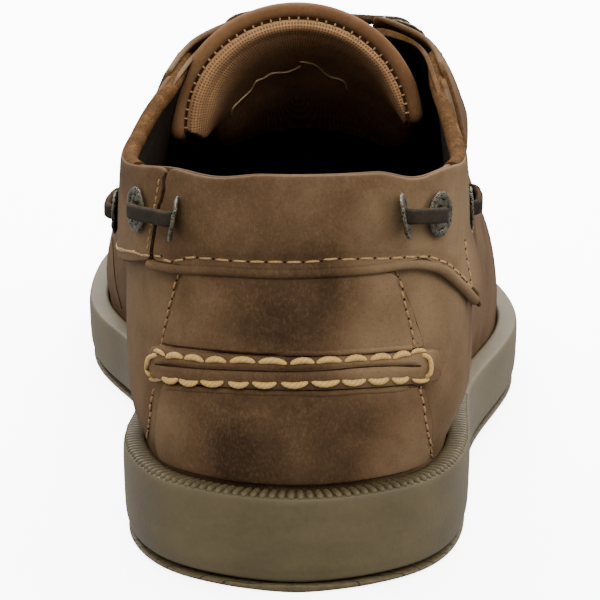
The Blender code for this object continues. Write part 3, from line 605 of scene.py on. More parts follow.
BAND_ROW = (
    (142.5, 255.3), (152.2, 255.8), (161.4, 257.9), (167.6, 260.4), (174.7, 260.9), (182.9, 259.2),
    (205.3, 258.6), (227.8, 260.6), (262.4, 261.9), (305.5, 261.6), (336, 259.4), (364.7, 258.6),
    (396.3, 258.2), (417.7, 256.9), (428.9, 256.6), (436, 258.2), (442, 260.7), (449.5, 264),
    (457, 270.6), (465.2, 280.2), (471, 288.5))
BAND_LIP = (
    (150, 265), (170, 266.5), (210, 268.7), (252, 271), (266, 272), (278, 274), (290, 272),
    (300, 271.5), (341, 269.7), (382, 266.3), (422, 263.2), (440, 266), (450, 272), (458, 279.5),
    (464.5, 287), (469.5, 294), (474, 301))
SEAMS = {
    "left": ((178.8, 271.6), (175.7, 280.8), (172.6, 293), (169, 306.3), (165.5, 321.6),
        (163, 334.9), (160.9, 346.1)),
    "left_low": ((153.3, 388), (151.2, 399.2), (149, 419), (146.5, 438), (144, 456)),
    "right": ((395.3, 267.6), (401.4, 285.9), (405.5, 303.3), (410.6, 321.6), (413.7, 336.9),
        (415.7, 348.2)),
    "right_low": ((419.8, 386), (422.9, 397.1), (428, 428), (433, 458)),
    "tail": ((471, 288), (470.3, 280), (468.6, 270.4), (467, 261.2), (465.6, 252), (464.6, 240))}
PLEAT_CREASE = (
    (155.3, 364), (175.7, 366.5), (201.2, 368.8), (226.7, 370), (252.2, 370.9), (282.9, 371.6),
    (310.6, 371.1), (336, 369.6), (356.5, 367.6), (377, 366.3), (402.4, 366), (421, 366))

band_row = seen(BAND_ROW, 120)
pleat_crease = seen(PLEAT_CREASE, 90)
PLEAT_ROLL = 0.0011
seams = [seen(points, 40) for points in SEAMS.values()]
press("collar_band", band_row, width=0.0011, height=-0.00055, fade=0.02)
press("collar_band", seen(BAND_LIP, 100), width=0.0016, height=0.00045, fade=0.05)
press("heel_strip", pleat_crease, width=0.00045, height=-0.0006, fade=0.03)
press("heel_strip", [p + UP * PLEAT_ROLL for p in pleat_crease],
      width=0.0007, height=0.00022, fade=0.03)
for path in seams:
    for node in ("heel_panel_top", "heel_panel_low", "upper"):
        press(node, path, width=0.001, height=-0.0004, fade=0)

# Creases of wear: across the toe where the foot bends, below the ankle and
# across the collar on the outer side.
TOE_CREASES = (((-25, 39), (-12, 43), (4, 43.5), (19, 40)),
               ((-28, 49), (-13, 53), (6, 54), (23, 49)),
               ((-27, 61), (-12, 63), (4, 64), (16, 62)))
ANKLE_CREASES = (((-60, 34), (-50, 44), (-44, 56)), ((-34, 30), (-26, 42), (-22, 55)))
COLLAR_CREASES = (((479, 212), (477, 226), (473, 244)), ((485, 222), (481, 236), (477, 250)))
for path in TOE_CREASES:
    press("upper", from_above(path), width=0.0024, height=-0.0008, fade=0.35)
for way in (1, -1):
    for path in ANKLE_CREASES:
        press("upper", from_side(way, path), width=0.0028, height=-0.0007, fade=0.35)
for path in COLLAR_CREASES:
    for node in ("collar_outer", "upper"):
        press(node, seen(path, 20), width=0.0012, height=-0.0006, fade=0.3)
tree = tree_of(*skins.values())
print("folds pressed")

# %% [markdown]
# ## Thread
# A stitch is a short grain of thread that dips into the leather at both ends. It
# is modelled once from a sphere, and copied along each seam at an even pitch.

# %% Thread
def waxed_thread(name, low, high):
    """Twisted thread: its plies run round the stitch's own UV."""
    made, place = new_material(name)
    across, along, _ = uv_axes(place)
    turns = (across * 3 + along * 7) * (2 * math.pi)
    plies = turns.sine() * 0.5 + 0.5
    fuzz = noise(place, 2600, 3, 0.6)
    tone = between(plies * 0.25 + fuzz * 0.9, 0.3, 0.95)
    return surface(made, blend(tone, srgb(*low), srgb(*high)), 0.68,
                   bump(plies * 0.5 + fuzz * 0.6, 0.00012, 0.6), 0.3)


cream = waxed_thread("cream_thread", (138, 108, 58), (172, 140, 82))
fine_thread = waxed_thread("tan_thread", (110, 82, 50), (154, 122, 80))
brown_thread = waxed_thread("brown_thread", (98, 70, 42), (150, 114, 74))


def stitch_model(arch, blunt=4, bow=0):
    """One stitch, a unit long on X, whose ends dip by the arch and bow to one side."""
    bpy.ops.mesh.primitive_uv_sphere_add(segments=12, ring_count=8, radius=0.5,
                                         rotation=(0, math.radians(90), 0))
    model = bpy.context.object
    pick(model)
    bpy.ops.object.transform_apply(location=True, rotation=True, scale=True)
    for vertex in model.data.vertices:
        s = min(abs(vertex.co.x) * 2, 1)
        if s < 0.999:
            fuller = math.sqrt((1 - s ** blunt) / (1 - s * s))
            vertex.co.y *= fuller
            vertex.co.z *= fuller
        vertex.co.z -= arch * s * s
        vertex.co.y -= bow * s * s
    bpy.ops.object.shade_smooth()
    return model


def copies(name, model, places, look, slot="leather"):
    """One piece made of copies of a model, handed to the frame."""
    made = []
    for matrix in places:
        made.append(new_piece(name, model.data.copy()))
        made[-1].data.transform(matrix)
    pick(*made)
    bpy.ops.object.join()
    piece = bpy.context.object
    piece.name = name
    piece.data.materials.clear()
    wear(piece, look)
    settle(piece, slot)


def placing(centre, ahead, out, length, width, height):
    """The matrix that lays a model along a direction with its back outwards."""
    ahead = (ahead - out * ahead.dot(out)).normalized()
    side = out.cross(ahead)
    turned = Matrix((ahead * length, side * width, out * height)).transposed().to_4x4()
    return Matrix.Translation(centre) @ turned


def place_at(far, travel, points):
    """The place on a line after travelling so far along it."""
    return Vector([np.interp(far, travel, points[:, i]) for i in range(3)])


def spaced(path, pitch):
    """Points along a path, one pitch apart, with the way ahead at each."""
    points = np.array(path)
    travel = travel_along(points)
    count = max(round(travel[-1] / pitch), 1)
    made = []
    for k in range(count):
        a, b, c = [place_at((k + share) / count * travel[-1], travel, points)
                   for share in (0, 0.5, 1)]
        made.append((b, c - a))
    return made


def seat(place):
    """The nearest place on the leather and its outward direction."""
    return tree.find_nearest(place)[:2]


def run_stitches(path, pitch, width=0.0005, height=0.00055, share=0.78, lift=0.0001):
    """Places of a row of machine stitches along a path on the leather."""
    made = []
    for place, ahead in spaced(path, pitch):
        spot, out = seat(place)
        made.append(placing(spot + out * lift, ahead, out, ahead.length * share, width, height))
    return made


def holes_between(path, pitch, size=0.00045, deep=0.0003, lift=0.00003):
    """The needle holes at the ends of the stitches of a row."""
    made = []
    for place, ahead in spaced(path, pitch):
        spot, out = seat(place + ahead * 0.5)
        made.append(placing(spot + out * lift, ahead, out, size, size, deep))
    return made


fine_stitch = stitch_model(arch=0.3)
thick_stitch = stitch_model(arch=0.25, blunt=5)
bowed_stitch = stitch_model(arch=0.25, blunt=3.2, bow=0.34)
hole_dot = stitch_model(arch=0, blunt=2)

# %% [markdown]
# ### Machine seams
# Fine tan thread closes the band and goes on along the collar pieces, the
# eyestays and the tongue. A browner thread closes the band's tail and both
# sides of the counter. The needle left a hole between two stitches.

# %% Machine seams
APRON = {
    1: ((31.9, 0.7), (32.9, 12.5), (33.9, 24.3), (34.4, 38.9), (33.2, 56.4), (30.8, 73.9),
        (27.1, 90.4), (22.3, 105), (16.7, 115.9), (9.4, 124.2), (-0.3, 130.6), (-7.4, 132.5)),
    -1: ((-24.3, 1), (-26.9, 13.2), (-30.1, 25), (-33.4, 39.6), (-35.1, 57.1), (-35.5, 74.6),
        (-34.9, 91.1), (-32.4, 105.4), (-28.5, 116.2), (-22.9, 124.4), (-14.5, 130.6),
        (-7.4, 132.5))}
COLLAR_ROW = (
    (-124, 66), (-112, 63.6), (-98, 61.8), (-84, 61.7), (-72, 64), (-62, 69), (-56, 73))
COLLAR_ROW_OUTER = (
    (-86, 61.7), (-78, 62.6), (-68, 65.8), (-60, 70.4), (-56, 73))
STAY_TOP = {
    1: ((30.9, -52), (30, -41.2), (19.5, -29.4), (18.8, -17.5), (20, -5.5), (19.8, 6)),
    -1: ((-28.3, -52.4), (-25.3, -41.8), (-12.3, -29.8), (-10.4, -17.7), (-11.1, -5.5),
        (-11.8, 6))}
STAY_LOW = {
    1: ((28.6, -29.1), (28.4, -17.2), (29.9, -5.3), (30, 6.6)),
    -1: ((-21.8, -29.6), (-20.3, -17.4), (-21.4, -5.2), (-22.3, 7))}
CORNER_ROW = ((119, 248.5), (128, 251), (136, 253), (143.5, 255.6))
FINE, COARSE = 0.0022, 0.0038
rows = [(band_row, COARSE), (seen(CORNER_ROW, 20), FINE * 0.7),
        (from_side(-1, COLLAR_ROW), FINE * 1.2), (from_side(1, COLLAR_ROW_OUTER), FINE * 1.2)]
rows += [(from_above(STAY_TOP[s][2:]), FINE) for s in (1, -1)]
rows += [(from_above(STAY_LOW[s]), FINE) for s in (1, -1)]
fine_places = [m for path, pitch in rows for m in run_stitches(path, pitch)]
copies("stitches_fine", fine_stitch, fine_places, fine_thread)
panel_places = [m for path in seams for m in run_stitches(path, FINE)]
copies("stitches_panels", fine_stitch, panel_places, brown_thread)
# Each needle hole is a dark dot on the leather: painted shade in the hole.
hole_shade_look = dark_matte("needle_hole_shade", (14, 10, 7), (22, 15, 10))
hole_rows = rows[:1] + [(path, FINE) for path in seams]
hole_places = [m for path, pitch in hole_rows for m in holes_between(path, pitch)]
copies("needle_hole_shade", hole_dot, hole_places, hole_shade_look)

# %% [markdown]
# ### The heel pleat's thick thread
# Two rows of thick waxed stitches hold the pleat. They were counted in the
# picture: twelve above, twelve below, with one loop round each end.

# %% Thick stitches
PLEAT_UPPER = (
    (154.8, 350.3, 165.5, 355.4), (167, 356.8, 182.9, 356.2), (185.4, 357.4, 203.8, 360.2),
    (206.3, 360.6, 226.2, 360.6), (230.3, 361, 255.3, 361), (258.9, 361.4, 286.9, 362.8),
    (290.2, 362.8, 314.2, 361.4), (316.2, 361.6, 341.2, 360.4), (344.3, 360.2, 366.2, 358.6),
    (369.8, 358.6, 390.2, 357), (392.2, 357.4, 409.6, 353.6), (410.1, 353.4, 424.9, 351.6))
PLEAT_LOWER = (
    (148, 378.2, 161, 378.8), (163, 379, 179.3, 379.4), (179.8, 381, 198.7, 382.4),
    (201.2, 382.4, 224.2, 382.4), (228.8, 383.6, 249.2, 383.6), (252.8, 383.8, 276.7, 383.8),
    (281.5, 384.2, 308, 383), (311.6, 383, 339.2, 381.8), (341.7, 381.8, 365.2, 380.8),
    (367.8, 380.4, 388.2, 379.8), (391.2, 379.6, 408, 378.8), (411, 379, 428.5, 379.6))
END_LOOPS = (
    ((156, 354.5), (150.5, 358), (148.6, 364.5), (149.6, 371.5), (152.5, 376.5)),
    ((423.5, 354.5), (427.8, 358.5), (429.6, 365.5), (429, 372), (426.5, 377)))
THREAD_WIDTH, THREAD_HEIGHT, END_SHARE, LONGER = 0.0013, 0.0014, 0.72, 1.04
TILT, SHIFT, LIFT = 0.45, 0.0002, 0.00022


def thick_places(row, way):
    """Places of a row's thick stitches, which lean up or down; its ends are thinner."""
    made = []
    for k, (x0, y0, x1, y1) in enumerate(row):
        share = END_SHARE if k in (0, len(row) - 1) else 1
        a, b = seen(((x0, y0), (x1, y1)), 2)
        middle, out = seat((a + b) / 2)
        out = (out + UP * way * TILT).normalized()
        centre = middle + UP * way * SHIFT + out * LIFT
        made.append(placing(centre, (b - a) * way, out, (b - a).length * LONGER,
                            THREAD_WIDTH * share, THREAD_HEIGHT * share))
    return made


copies("stitches_pleat", bowed_stitch,
       thick_places(PLEAT_UPPER, 1) + thick_places(PLEAT_LOWER, -1), cream)


def thread_tube(name, path, radius, look):
    """A round thread along points, made from a curve and handed to the frame."""
    line = bpy.data.curves.new(name, "CURVE")
    line.dimensions = "3D"
    line.bevel_depth, line.bevel_resolution = radius, 3
    line.use_fill_caps = True
    spline = line.splines.new("NURBS")
    spline.points.add(len(path) - 1)
    for point, place in zip(spline.points, path):
        point.co = (*place, 1)
    spline.use_endpoint_u = True
    spline.order_u = 3
    spline.resolution_u = 4
    pick(new_piece(name, line))
    bpy.ops.object.convert(target="MESH")
    piece = bpy.context.object
    bpy.ops.object.shade_smooth()
    wear(piece, look)
    settle(piece, "leather")


LOOP_RADIUS, LOOP_LIFT, LOOP_DIP = 0.0005, 0.00045, 0.0008
for side, loop in zip(("left", "right"), END_LOOPS):
    path = [spot + out * LOOP_LIFT for spot, out in map(seat, seen(loop, 9))]
    for end in (0, -1):
        path[end] -= seat(path[end])[1] * LOOP_DIP
    thread_tube("pleat_loop_" + side, path, LOOP_RADIUS, cream)

# %% [markdown]
# ### The hand-sewn apron
# The toe's raised seam is whipped by hand: each thick stitch crosses the ridge.

# %% Apron stitches
WHIP_PITCH, WHIP_LIFT, WHIP_WIDTH, WHIP_HEIGHT = 0.0052, 0.0002, 0.00125, 0.0016
apron_path = from_above(APRON[1]) + from_above(APRON[-1])[::-1]
apron_places = []
for place, ahead in spaced(apron_path, WHIP_PITCH):
    spot, out = seat(place)
    across = out.cross(ahead).normalized()
    apron_places.append(placing(spot + out * WHIP_LIFT, across, out,
                                WHIP_PITCH, WHIP_WIDTH, WHIP_HEIGHT))
copies("stitches_apron", thick_stitch, apron_places, cream)

# %% [markdown]
# ### The raw top edge of the collar
# The collar's leather and its lining are glued and cut together. In front of the
# folded heel part this shows as one wide, fibrous edge, which a round strip
# between the two walls stands for.

# %% Collar edge
EDGE_TOP = (
    (-118, 82.3), (-105, 81.8), (-90, 82.6), (-78, 84.6), (-66, 87.8), (-57, 90.3), (-50, 92.4),
    (-45, 93.6), (-41, 94.7))
EDGE_RADIUS, EDGE_SINK, BELOW_EDGE, STEP = 0.00185, 0.00125, 2, 8
WALL_IN, EDGE_IN, OVERHEAD, TOP_REACH = 0.0009, 0.002, 0.15, 0.006
for side, name in ((-1, "inner"), (1, "outer")):
    path = []
    for place in from_side(side, [(y, z - BELOW_EDGE) for y, z in EDGE_TOP], 40):
        above = Vector((place.x - side * WALL_IN, place.y, OVERHEAD))
        top = tree.ray_cast(above, -UP)[0]
        if top is not None and abs(top.z - place.z) < TOP_REACH:
            path.append((place.x - side * EDGE_IN, place.y, top.z - EDGE_SINK))
    path = [Vector(p) for p in smooth_line(path[::STEP] + [path[-1]], 30)]
    thread_tube("collar_edge_" + name, path, EDGE_RADIUS, collar_look)

# %% Lip of the band and the folded seam
PIXELS = 4.04  # to a millimetre of the heel
FOLD_GAP = ((166.4, 172), (163.5, 191.5), (159.4, 211), (155.7, 232.7), (152.3, 254))
FOLD_ROW = ((159.5, 178), (156.5, 197), (152.5, 218), (149.2, 238), (147, 251))
QUARTER_LINE = ((113, 238), (114, 262), (116.5, 286), (122, 308))
STRIP_TOP = ((161.6, 346.4), (212.7, 352), (279, 354.5), (345.3, 353.5), (411.6, 347.1))
STRIP_FOOT = ((166.7, 386.9), (222.9, 390.7), (299.4, 392.7), (360.6, 390.7), (419.3, 385.6))


def sunken(points, depth, drop=0, count=60, stride=5):
    """A smooth line that lies a little under the leather, through picture places.
    With a drop it is found that much higher, on the whole leather, and let down."""
    places = seen([(x, y - drop / MM * PIXELS) for x, y in points], count)
    line = [spot - out * depth - UP * drop for spot, out in map(seat, places)]
    return [Vector(p) for p in smooth_line(line[::stride] + [line[-1]], count)]


seam_shade = dark_matte("seam_shade", (26, 17, 10), (40, 26, 15))
for name, points, radius, depth, drop, look in (
        ("band_lip", BAND_LIP, 0.0011, 0.0004, 0.0013, leather),
        ("strip_lip_top", STRIP_TOP, 0.00075, 0.00035, 0, leather),
        ("strip_lip_foot", STRIP_FOOT, 0.00075, 0.00035, 0, leather),
        ("fold_gap", FOLD_GAP, 0.00058, 0.00025, 0, seam_shade),
        ("pleat_fold", PLEAT_CREASE, 0.00017, 0, 0, seam_shade),
        ("quarter_line", QUARTER_LINE, 0.0003, 0.0001, 0, seam_shade)):
    thread_tube(name, sunken(points, depth, drop), radius, look)
fold_places = run_stitches(seen(FOLD_ROW, 30), FINE * 0.8, width=0.00036, height=0.0004)
copies("stitches_fold", fine_stitch, fold_places, brown_thread)

# %% Hand the leather over
for node, skin in skins.items():
    settle(skin, "leather", node)

# %% [markdown]
# ## Rubber
# The sole is one moulded cup of olive rubber, smooth on its wall and ribbed on
# the ledge round the heel. The walking layer below it is darker and drier.

# %% Rubber
def rubber_look(name, low, high):
    made, place = new_material(name)
    fine = noise(place, 900, 4, 0.6)
    clouds = noise(place, 30, 3, 0.5)
    streaks = noise(stretched(place, 1, 1, 3), 60, 4, 0.6, 0.4)
    tone = between(clouds * 0.6 + streaks * 0.35 + fine * 0.2, 0.38, 0.8)
    colour = blend(tone, low, high)
    specks = between(cells(place, 700), 0, 0.16)
    colour = blend((1 - specks) * 0.35, colour, low)
    return surface(made, colour, 0.5 + fine * 0.15,
                   bump(fine + streaks * 0.4, 0.0002, 0.35), 0.2)


rubber = rubber_look("sole_rubber", srgb(60, 51, 33), srgb(76, 66, 44))

cup = skin_of("sole_unit", "sole_cup")
RIM_Y = (-150, -72, -42, -12, 15, 69, 102, 132, 150)
RIM_Z = (20.4, 20, 18.4, 17.2, 16.3, 16, 17.2, 20.2, 22.4)
RIM_SLACK = 0.4


def above_rim(face):
    """True for a face whose corners all lie at or above the rim of the wall."""
    corners = [cup.data.vertices[i].co for i in face.vertices]
    return all(c.z / MM > np.interp(c.y / MM, RIM_Y, RIM_Z) - RIM_SLACK for c in corners)


pick(cup)
mode("EDIT")
bpy.ops.mesh.select_mode(type="FACE")
bpy.ops.mesh.select_all(action="DESELECT")
mode("OBJECT")
for face in cup.data.polygons:
    face.select = above_rim(face)
mode("EDIT")
bpy.ops.mesh.delete(type="FACE")
mode("OBJECT")


def open_loops(piece):
    """The open edges of a mesh as rings, each from the heel round by the outer side."""
    bm = bmesh.new()
    bm.from_mesh(piece.data)
    left = {e for e in bm.edges if len(e.link_faces) == 1}
    rings = []
    while left:
        line = left.pop()
        first, last = line.verts
        ring = [first, last]
        while True:
            nxt = next((e for e in last.link_edges if e in left), None)
            if nxt is None:
                break
            left.remove(nxt)
            last = nxt.other_vert(last)
            if last is first:
                break
            ring.append(last)
        places = [v.co.copy() for v in ring]
        heel = min(range(len(places)), key=lambda i: places[i].y)
        places = places[heel:] + places[:heel]
        if places[1].x < places[-1].x:
            places = [places[0]] + places[:0:-1]
        rings.append(places)
    bm.free()
    return sorted(rings, key=lambda ring: min(p.y for p in ring))


rims = open_loops(cup)
print("ledge rims:", [len(ring) for ring in rims])
pick(cup)
mode("EDIT")
bpy.ops.mesh.select_mode(type="EDGE")
bpy.ops.mesh.select_all(action="DESELECT")
bpy.ops.mesh.select_non_manifold()
bpy.ops.mesh.bridge_edge_loops(number_cuts=2, interpolation="LINEAR", smoothness=0)
mode("OBJECT")
crease_where(cup, 0.3, bent(50))
soften(cup, 2)
wear(cup, rubber)
settle(cup, "sole_rubber", "sole_unit")

# %% [markdown]
# ### Ribs of the ledge
# Round the heel the ledge carries rounded ribs that point at the leather. One
# rib is modelled, and copied at an even pitch round the heel.

# %% Ribs
RIB_PITCH, RIB_WIDTH, RIB_HEIGHT, RIB_REACH = 0.00202, 0.0015, 0.0015, 0.105
RIB_MIDDLE, RIB_SHARE, RIB_LIFT = 0.49, 0.98, 0.00005
outer, inner = map(np.array, rims)
rib_places = []
for way in (1, -1):
    order = [(way * k) % len(outer) for k in range(len(outer) // 2)]
    travel = travel_along(outer[order])
    for far in np.arange(RIB_PITCH / 2, RIB_REACH, RIB_PITCH):
        a, b = [place_at(far, travel, rim[order]) for rim in (outer, inner)]
        rib_places.append(placing(a.lerp(b, RIB_MIDDLE) + UP * RIB_LIFT, b - a, UP,
                                  (b - a).length * RIB_SHARE, RIB_WIDTH, RIB_HEIGHT))
rib = stitch_model(arch=0.12, blunt=6)
copies("ledge_ribs", rib, rib_places, rubber, "sole_rubber")

# %% [markdown]
# ### Tread and foot bed
# The walking layer has fine wavy cuts for grip. They are too fine for the mesh,
# so the material draws them with a bump and darkens them with painted shade.

# %% Tread and foot bed
SIPE_PITCH, SIPE_WAVE, SIPE_TURNS = 0.0052, 0.0011, 520


def siped(name, low, high):
    """Rubber whose underside has wavy cuts, drawn by a bump and darkened with painted shade."""
    made, place = new_material(name)
    x, y, z = axes(place)
    fine = noise(place, 900, 4, 0.6)
    wave = (x * SIPE_TURNS).sine() * SIPE_WAVE
    cut = ((y + wave) * (math.pi / SIPE_PITCH)).sine()
    flat = between(cut.maths("ABSOLUTE", cut), 0, 0.16)
    under = between(z, 0.003, 0.01, 1, 0)
    colour = blend(between(fine, 0.3, 0.7), low, high)
    # The cuts on the underside are darkened: painted shade inside the cuts.
    colour = blend((1 - flat) * under * 0.8, colour, srgb(20, 17, 12))
    return surface(made, colour, 0.62 + fine * 0.15,
                   bump(flat * under + fine * 0.06, 0.001, 0.8), 0.3)


tread_rubber = siped("tread_rubber", srgb(56, 47, 27), srgb(74, 63, 38))
bed_leather = oiled_leather("foot_bed_leather", ((44, 31, 21), (66, 48, 33), (88, 68, 48)))
for node, name, look, slot in (("tread", "tread_layer", tread_rubber, "tread_rubber"),
                               ("insole", "foot_bed", bed_leather, "lining")):
    layer = skin_of(node, name)
    crease_where(layer, 0.25, bent(50))
    soften(layer, 2)
    wear(layer, look)
    settle(layer, slot, node)

# %% [markdown]
# ## The padded tongue
# Foam between leather and a dotted mesh makes the tongue round. Its free edge is
# wrapped in a rolled leather binding, sewn down along the mesh.

# %% Mesh lining
HOLE_PITCH = 0.8


def mesh_lining(name):
    """Knitted lining with rows of tiny holes, darkened as painted shade, laid out on a UV map in
    mm.
    """
    made, place = new_material(name)
    u, v, _ = uv_axes(place)
    wobble = noise(place, 300, 2) * 0.6
    a, b = [axis * (math.pi / HOLE_PITCH) + wobble for axis in (u, v)]
    hole = between((a + b).sine() * (a - b).sine(), 0.1, 0.62)
    cloud = noise(place, 60, 3)
    fuzz = noise(place, 1800, 3, 0.7)
    thread = blend(between(cloud * 0.7 + fuzz * 0.4, 0.3, 0.8), srgb(122, 87, 55),
                   srgb(162, 122, 83))
    # The knit's holes are darkened: painted shade in the openings.
    colour = blend(hole * 0.7, thread, srgb(66, 44, 26))
    return surface(made, colour, 0.9, bump((1 - hole) + fuzz * 0.3, 0.0003, 0.8), 0.2)


mesh_look = mesh_lining("mesh_lining")

# %% Tongue
tongue = skin_of("tongue", "padded_tongue")
free_end = min(v.co.y for v in tongue.data.vertices)
END_DEPTH, TONGUE_RADIUS = 0.0002, 0.0276
ends = [v.co.copy() for v in tongue.data.vertices if v.co.y < free_end + END_DEPTH]
TONGUE_AXIS = Vector((sum(p.x for p in ends) / len(ends), 0,
                      max(p.z for p in ends) - TONGUE_RADIUS))


def about_axis(place):
    """Angle round the tongue's arch, from its crest, and the distance from its axis."""
    dx, dz = place.x - TONGUE_AXIS.x, place.z - TONGUE_AXIS.z
    return math.atan2(dx, dz), math.hypot(dx, dz)


MESH_REACH, MESH_STRETCH, FACING, BACKWARDS = 0.025, 0.3, 0.3, -0.5
bm = bmesh.new()
bm.from_mesh(tongue.data)
for face in bm.faces:
    centre = face.calc_center_median()
    inwards = Vector((TONGUE_AXIS.x - centre.x, 0, TONGUE_AXIS.z - centre.z)).normalized()
    if centre.y < free_end + MESH_REACH:
        meshed = face.normal.dot(inwards) > FACING or face.normal.y < BACKWARDS
    else:
        meshed = face.normal.z < 0
    face.material_index = 1 if meshed else 0
bm.to_mesh(tongue.data)
bm.free()
crease_where(tongue, 0.45, two_looks)
soften(tongue, 3)
PAD_REACH, PAD_PUFF, PAD_DEEP, ROLL, UV_RADIUS = 0.012, 0.0016, 0.0045, 0.00155, 27
crest = max(about_axis(p)[1] for p in ends)
for vertex in tongue.data.vertices:
    deep = crest - about_axis(vertex.co)[1] - 2 * ROLL
    back = 1 - (vertex.co.y - free_end) / PAD_REACH
    if deep > 0 and back > 0:
        vertex.co.y -= PAD_PUFF * math.sin(min(deep / PAD_DEEP, 1) * math.pi) * back
wear(tongue, leather, mesh_look)
flat = tongue.data.uv_layers.new(name="mesh_mm")
for loop in tongue.data.loops:
    place = tongue.data.vertices[loop.vertex_index].co
    angle, far = about_axis(place)
    flat.data[loop.index].uv = (angle * UV_RADIUS, (place.y * MESH_STRETCH - far) / MM)
settle(tongue, "leather", "tongue")

# %% End of the mesh
LINING_END = (
    ((231, 114), (232, 109), (241, 99), (250.5, 90), (257, 80), (263, 78), (269, 74), (289, 71),
     (300, 66)),
    ((300.5, 61), (314, 64), (328, 75), (345.5, 83), (347, 88)))
FRAY_RADIUS, FRAY_LIFT = 0.00022, 0.0001
tongue_tree = tree_of(tongue)
frayed = waxed_thread("frayed_edge", (170, 140, 100), (214, 188, 148))
for side, points in zip(("left", "right"), LINING_END):
    found = [tongue_tree.ray_cast(*photo_ray(px, py)) for px, py in smooth_line(points, 30)]
    path = [place + out * FRAY_LIFT for place, out, _, _ in found if place is not None]
    thread_tube("mesh_end_" + side, path, FRAY_RADIUS, frayed)

# %% Binding of the tongue
def free_edge(points, inset):
    """The middle line of the tongue's free end, from one lower corner to the other."""
    turned = sorted((about_axis(p) for p in points), key=lambda item: item[0])
    low, high = turned[0][0], turned[-1][0]
    far = max(item[1] for item in turned) - inset
    return [Vector((TONGUE_AXIS.x + far * math.sin(a), free_end, TONGUE_AXIS.z + far * math.cos(a)))
            for a in np.linspace(low, high, 40)]


binding = free_edge(ends, ROLL)
END_IN, END_BACK, END_DOWN, ROUND = 0.0004, 0.003, 0.001, 1.12
BACK_WAY, SEAM_BACK, SEAM_INSET = Vector((0, -1, 0)), 0.0008, 2.15
GUTTER_RADIUS, GUTTER_SINK, SEAM_PITCH = 0.0004, 0.0004, 0.0021
SEAM_LENGTH, SEAM_WIDTH, SEAM_HEIGHT = 0.0013, 0.00045, 0.00055
lead, trail = [[binding[end] + Vector((inwards, END_BACK * k, -END_DOWN * k)) for k in (1, 2, 3)]
               for end, inwards in ((0, END_IN), (-1, -END_IN))]
# The binding's leather is a lighter copy of the oiled leather: partly its own tone, partly painted
# light for the dim opening of the shoe.
binding_look = oiled_leather("binding_leather", ((64, 44, 27), (88, 62, 40), (114, 86, 58)))
thread_tube("tongue_binding", lead[::-1] + binding + trail, ROLL * ROUND, binding_look)
seam_line = [p + BACK_WAY * SEAM_BACK for p in free_edge(ends, SEAM_INSET * ROLL)]
seam_places = [placing(place, ahead.cross(BACK_WAY), BACK_WAY,
                       SEAM_LENGTH, SEAM_WIDTH, SEAM_HEIGHT)
               for place, ahead in spaced(seam_line, SEAM_PITCH)]
copies("stitches_tongue", fine_stitch, seam_places, fine_thread)
# A dark tube in the groove along the binding's seam paints the shade in the groove.
gutter = dark_matte("binding_gutter", (34, 22, 12), (48, 32, 18))
thread_tube("tongue_gutter", [p - BACK_WAY * GUTTER_SINK for p in seam_line],
            GUTTER_RADIUS, gutter)

# %% [markdown]
# ## Lace and eyelets
# The lace is a flat strip of dark, waxed leather. Each eyelet is a flattened
# ring of aged metal with turned-back petals inside it, modelled once from two
# toruses over a dark disc, which paints the shade inside the hole.

# %% Lace
lace_look = oiled_leather("lace_leather", ((22, 19, 14), (36, 32, 26), (66, 61, 51)),
                          (66, 50, 32))
LACE_THICKEST = 0.0024
SAG_FROM, SAG_TO, SAG = 0.002, 0.026, 0.002


def cut_edges_of(strap):
    """The narrow sides of a strap show the brown inside of the leather."""
    walls = tree_of(strap)
    for face in strap.data.polygons:
        deep = walls.ray_cast(face.center - face.normal * TINY, -face.normal)[3]
        face.material_index = 1 if deep is not None and deep > LACE_THICKEST else 0


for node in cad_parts:
    if node.startswith("lace_"):
        strap = skin_of(node, node + "_strap")
        crease_where(strap, 0.4, bent(35))
        cut_edges_of(strap)
        if node == "lace_crossing_top":
            for vertex in strap.data.vertices:
                reach = (vertex.co.x - SAG_FROM) / (SAG_TO - SAG_FROM)
                if 0 < reach < 1:
                    vertex.co.z -= SAG * math.sin(reach * math.pi)
        soften(strap, 3)
        wear(strap, lace_look, dark_edge)
        settle(strap, "lace", node)


# %% Eyelets
def aged_metal(name):
    """Silver plating, dulled and pitted."""
    made, place = new_material(name)
    clouds = noise(place, 900, 4, 0.7)
    pits = between(cells(place, 1300), 0.1, 0.45)
    worn = between(clouds * 0.8 + pits * 0.3, 0.42, 0.8)
    colour = blend(worn, srgb(18, 16, 11), srgb(70, 65, 49))
    return surface(made, colour, 0.58 - worn * 0.2,
                   bump(clouds + pits * 0.5, 0.0005, 1), metallic=0.8)


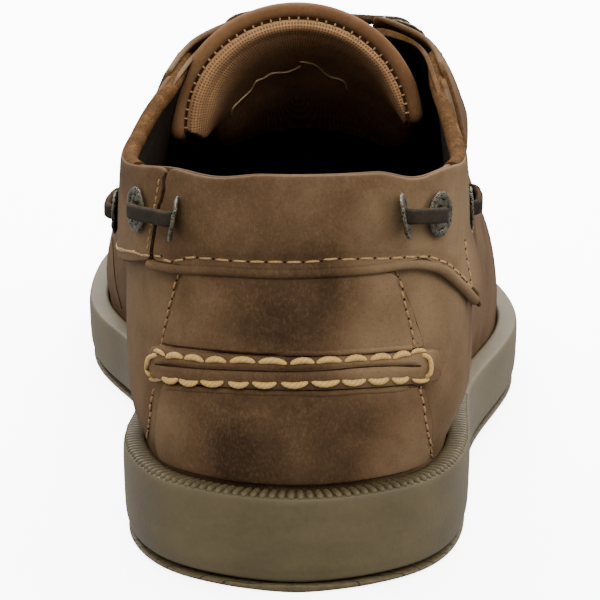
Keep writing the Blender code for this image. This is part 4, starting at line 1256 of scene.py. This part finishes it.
metal = aged_metal("aged_metal")
EDGE_ON, LEAN = math.radians(18), 0.16
FLATNESS, DENTS, PETALS, HOLE_SINK = 0.55, 0.00012, 7, 0.0001
INWARDS, HIGH_MIDDLE = 0.1, 0.03
bpy.ops.mesh.primitive_torus_add(major_segments=40, minor_segments=14,
                                 major_radius=0.00395, minor_radius=0.0008)
ring = bpy.context.object
pick(ring)
bpy.ops.transform.resize(value=(1, 1, FLATNESS))
bpy.ops.object.transform_apply(location=True, rotation=True, scale=True)
for vertex in ring.data.vertices:
    turn = math.atan2(vertex.co.y, vertex.co.x)
    vertex.co.z += DENTS * math.sin(turn * 7 + vertex.co.x * 900) * math.cos(turn * 3)
bpy.ops.object.shade_smooth()
bpy.ops.mesh.primitive_torus_add(major_segments=48, minor_segments=10,
                                 major_radius=0.00262, minor_radius=0.00078)
petals = bpy.context.object
for vertex in petals.data.vertices:
    turn = math.atan2(vertex.co.y, vertex.co.x)
    lobe = abs(math.cos(turn * PETALS / 2))
    wide, high = 0.86 + 0.16 * lobe, 0.15 + 0.35 * lobe
    vertex.co *= Vector((wide, wide, high))
bpy.ops.object.shade_smooth()
# The dark disc inside each ring paints the shade in the eyelet's hole.
bpy.ops.mesh.primitive_circle_add(vertices=32, radius=0.0034, fill_type="NGON")
hole_disc = bpy.context.object
hole_disc.data.transform(Matrix.Translation(-UP * HOLE_SINK))
wear(ring, metal)
wear(petals, metal)
wear(hole_disc, metal, hole_shade_look)
hole_disc.data.polygons[0].material_index = 1
pick(ring, petals, hole_disc)
bpy.ops.object.join()
for node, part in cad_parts.items():
    if node.startswith("eyelet_"):
        points = np.array([v.co[:] for v in part.data.vertices])
        middle = points.mean(axis=0)
        out = Vector(np.linalg.svd(points - middle)[2][2])
        if out.dot(Vector((middle[0], min(middle[1] + INWARDS, 0), middle[2] - HIGH_MIDDLE))) < 0:
            out.negate()
        if node.endswith("rear_b"):
            out.rotate(Matrix.Rotation(math.copysign(EDGE_ON, middle[0]), 3, "Z"))
            out = (out + UP * LEAN).normalized()
        eyelet = new_piece(node + "_ring", ring.data.copy())
        turn = UP.rotation_difference(out).to_matrix().to_4x4()
        eyelet.data.transform(Matrix.Translation(Vector(middle)) @ turn)
        settle(eyelet, "metal", node)

# %% [markdown]
# ## Clearing up
# The models that were copied are removed.

# %% Finish
for model in (fine_stitch, thick_stitch, bowed_stitch, hole_dot, rib, ring):
    bpy.data.objects.remove(model)
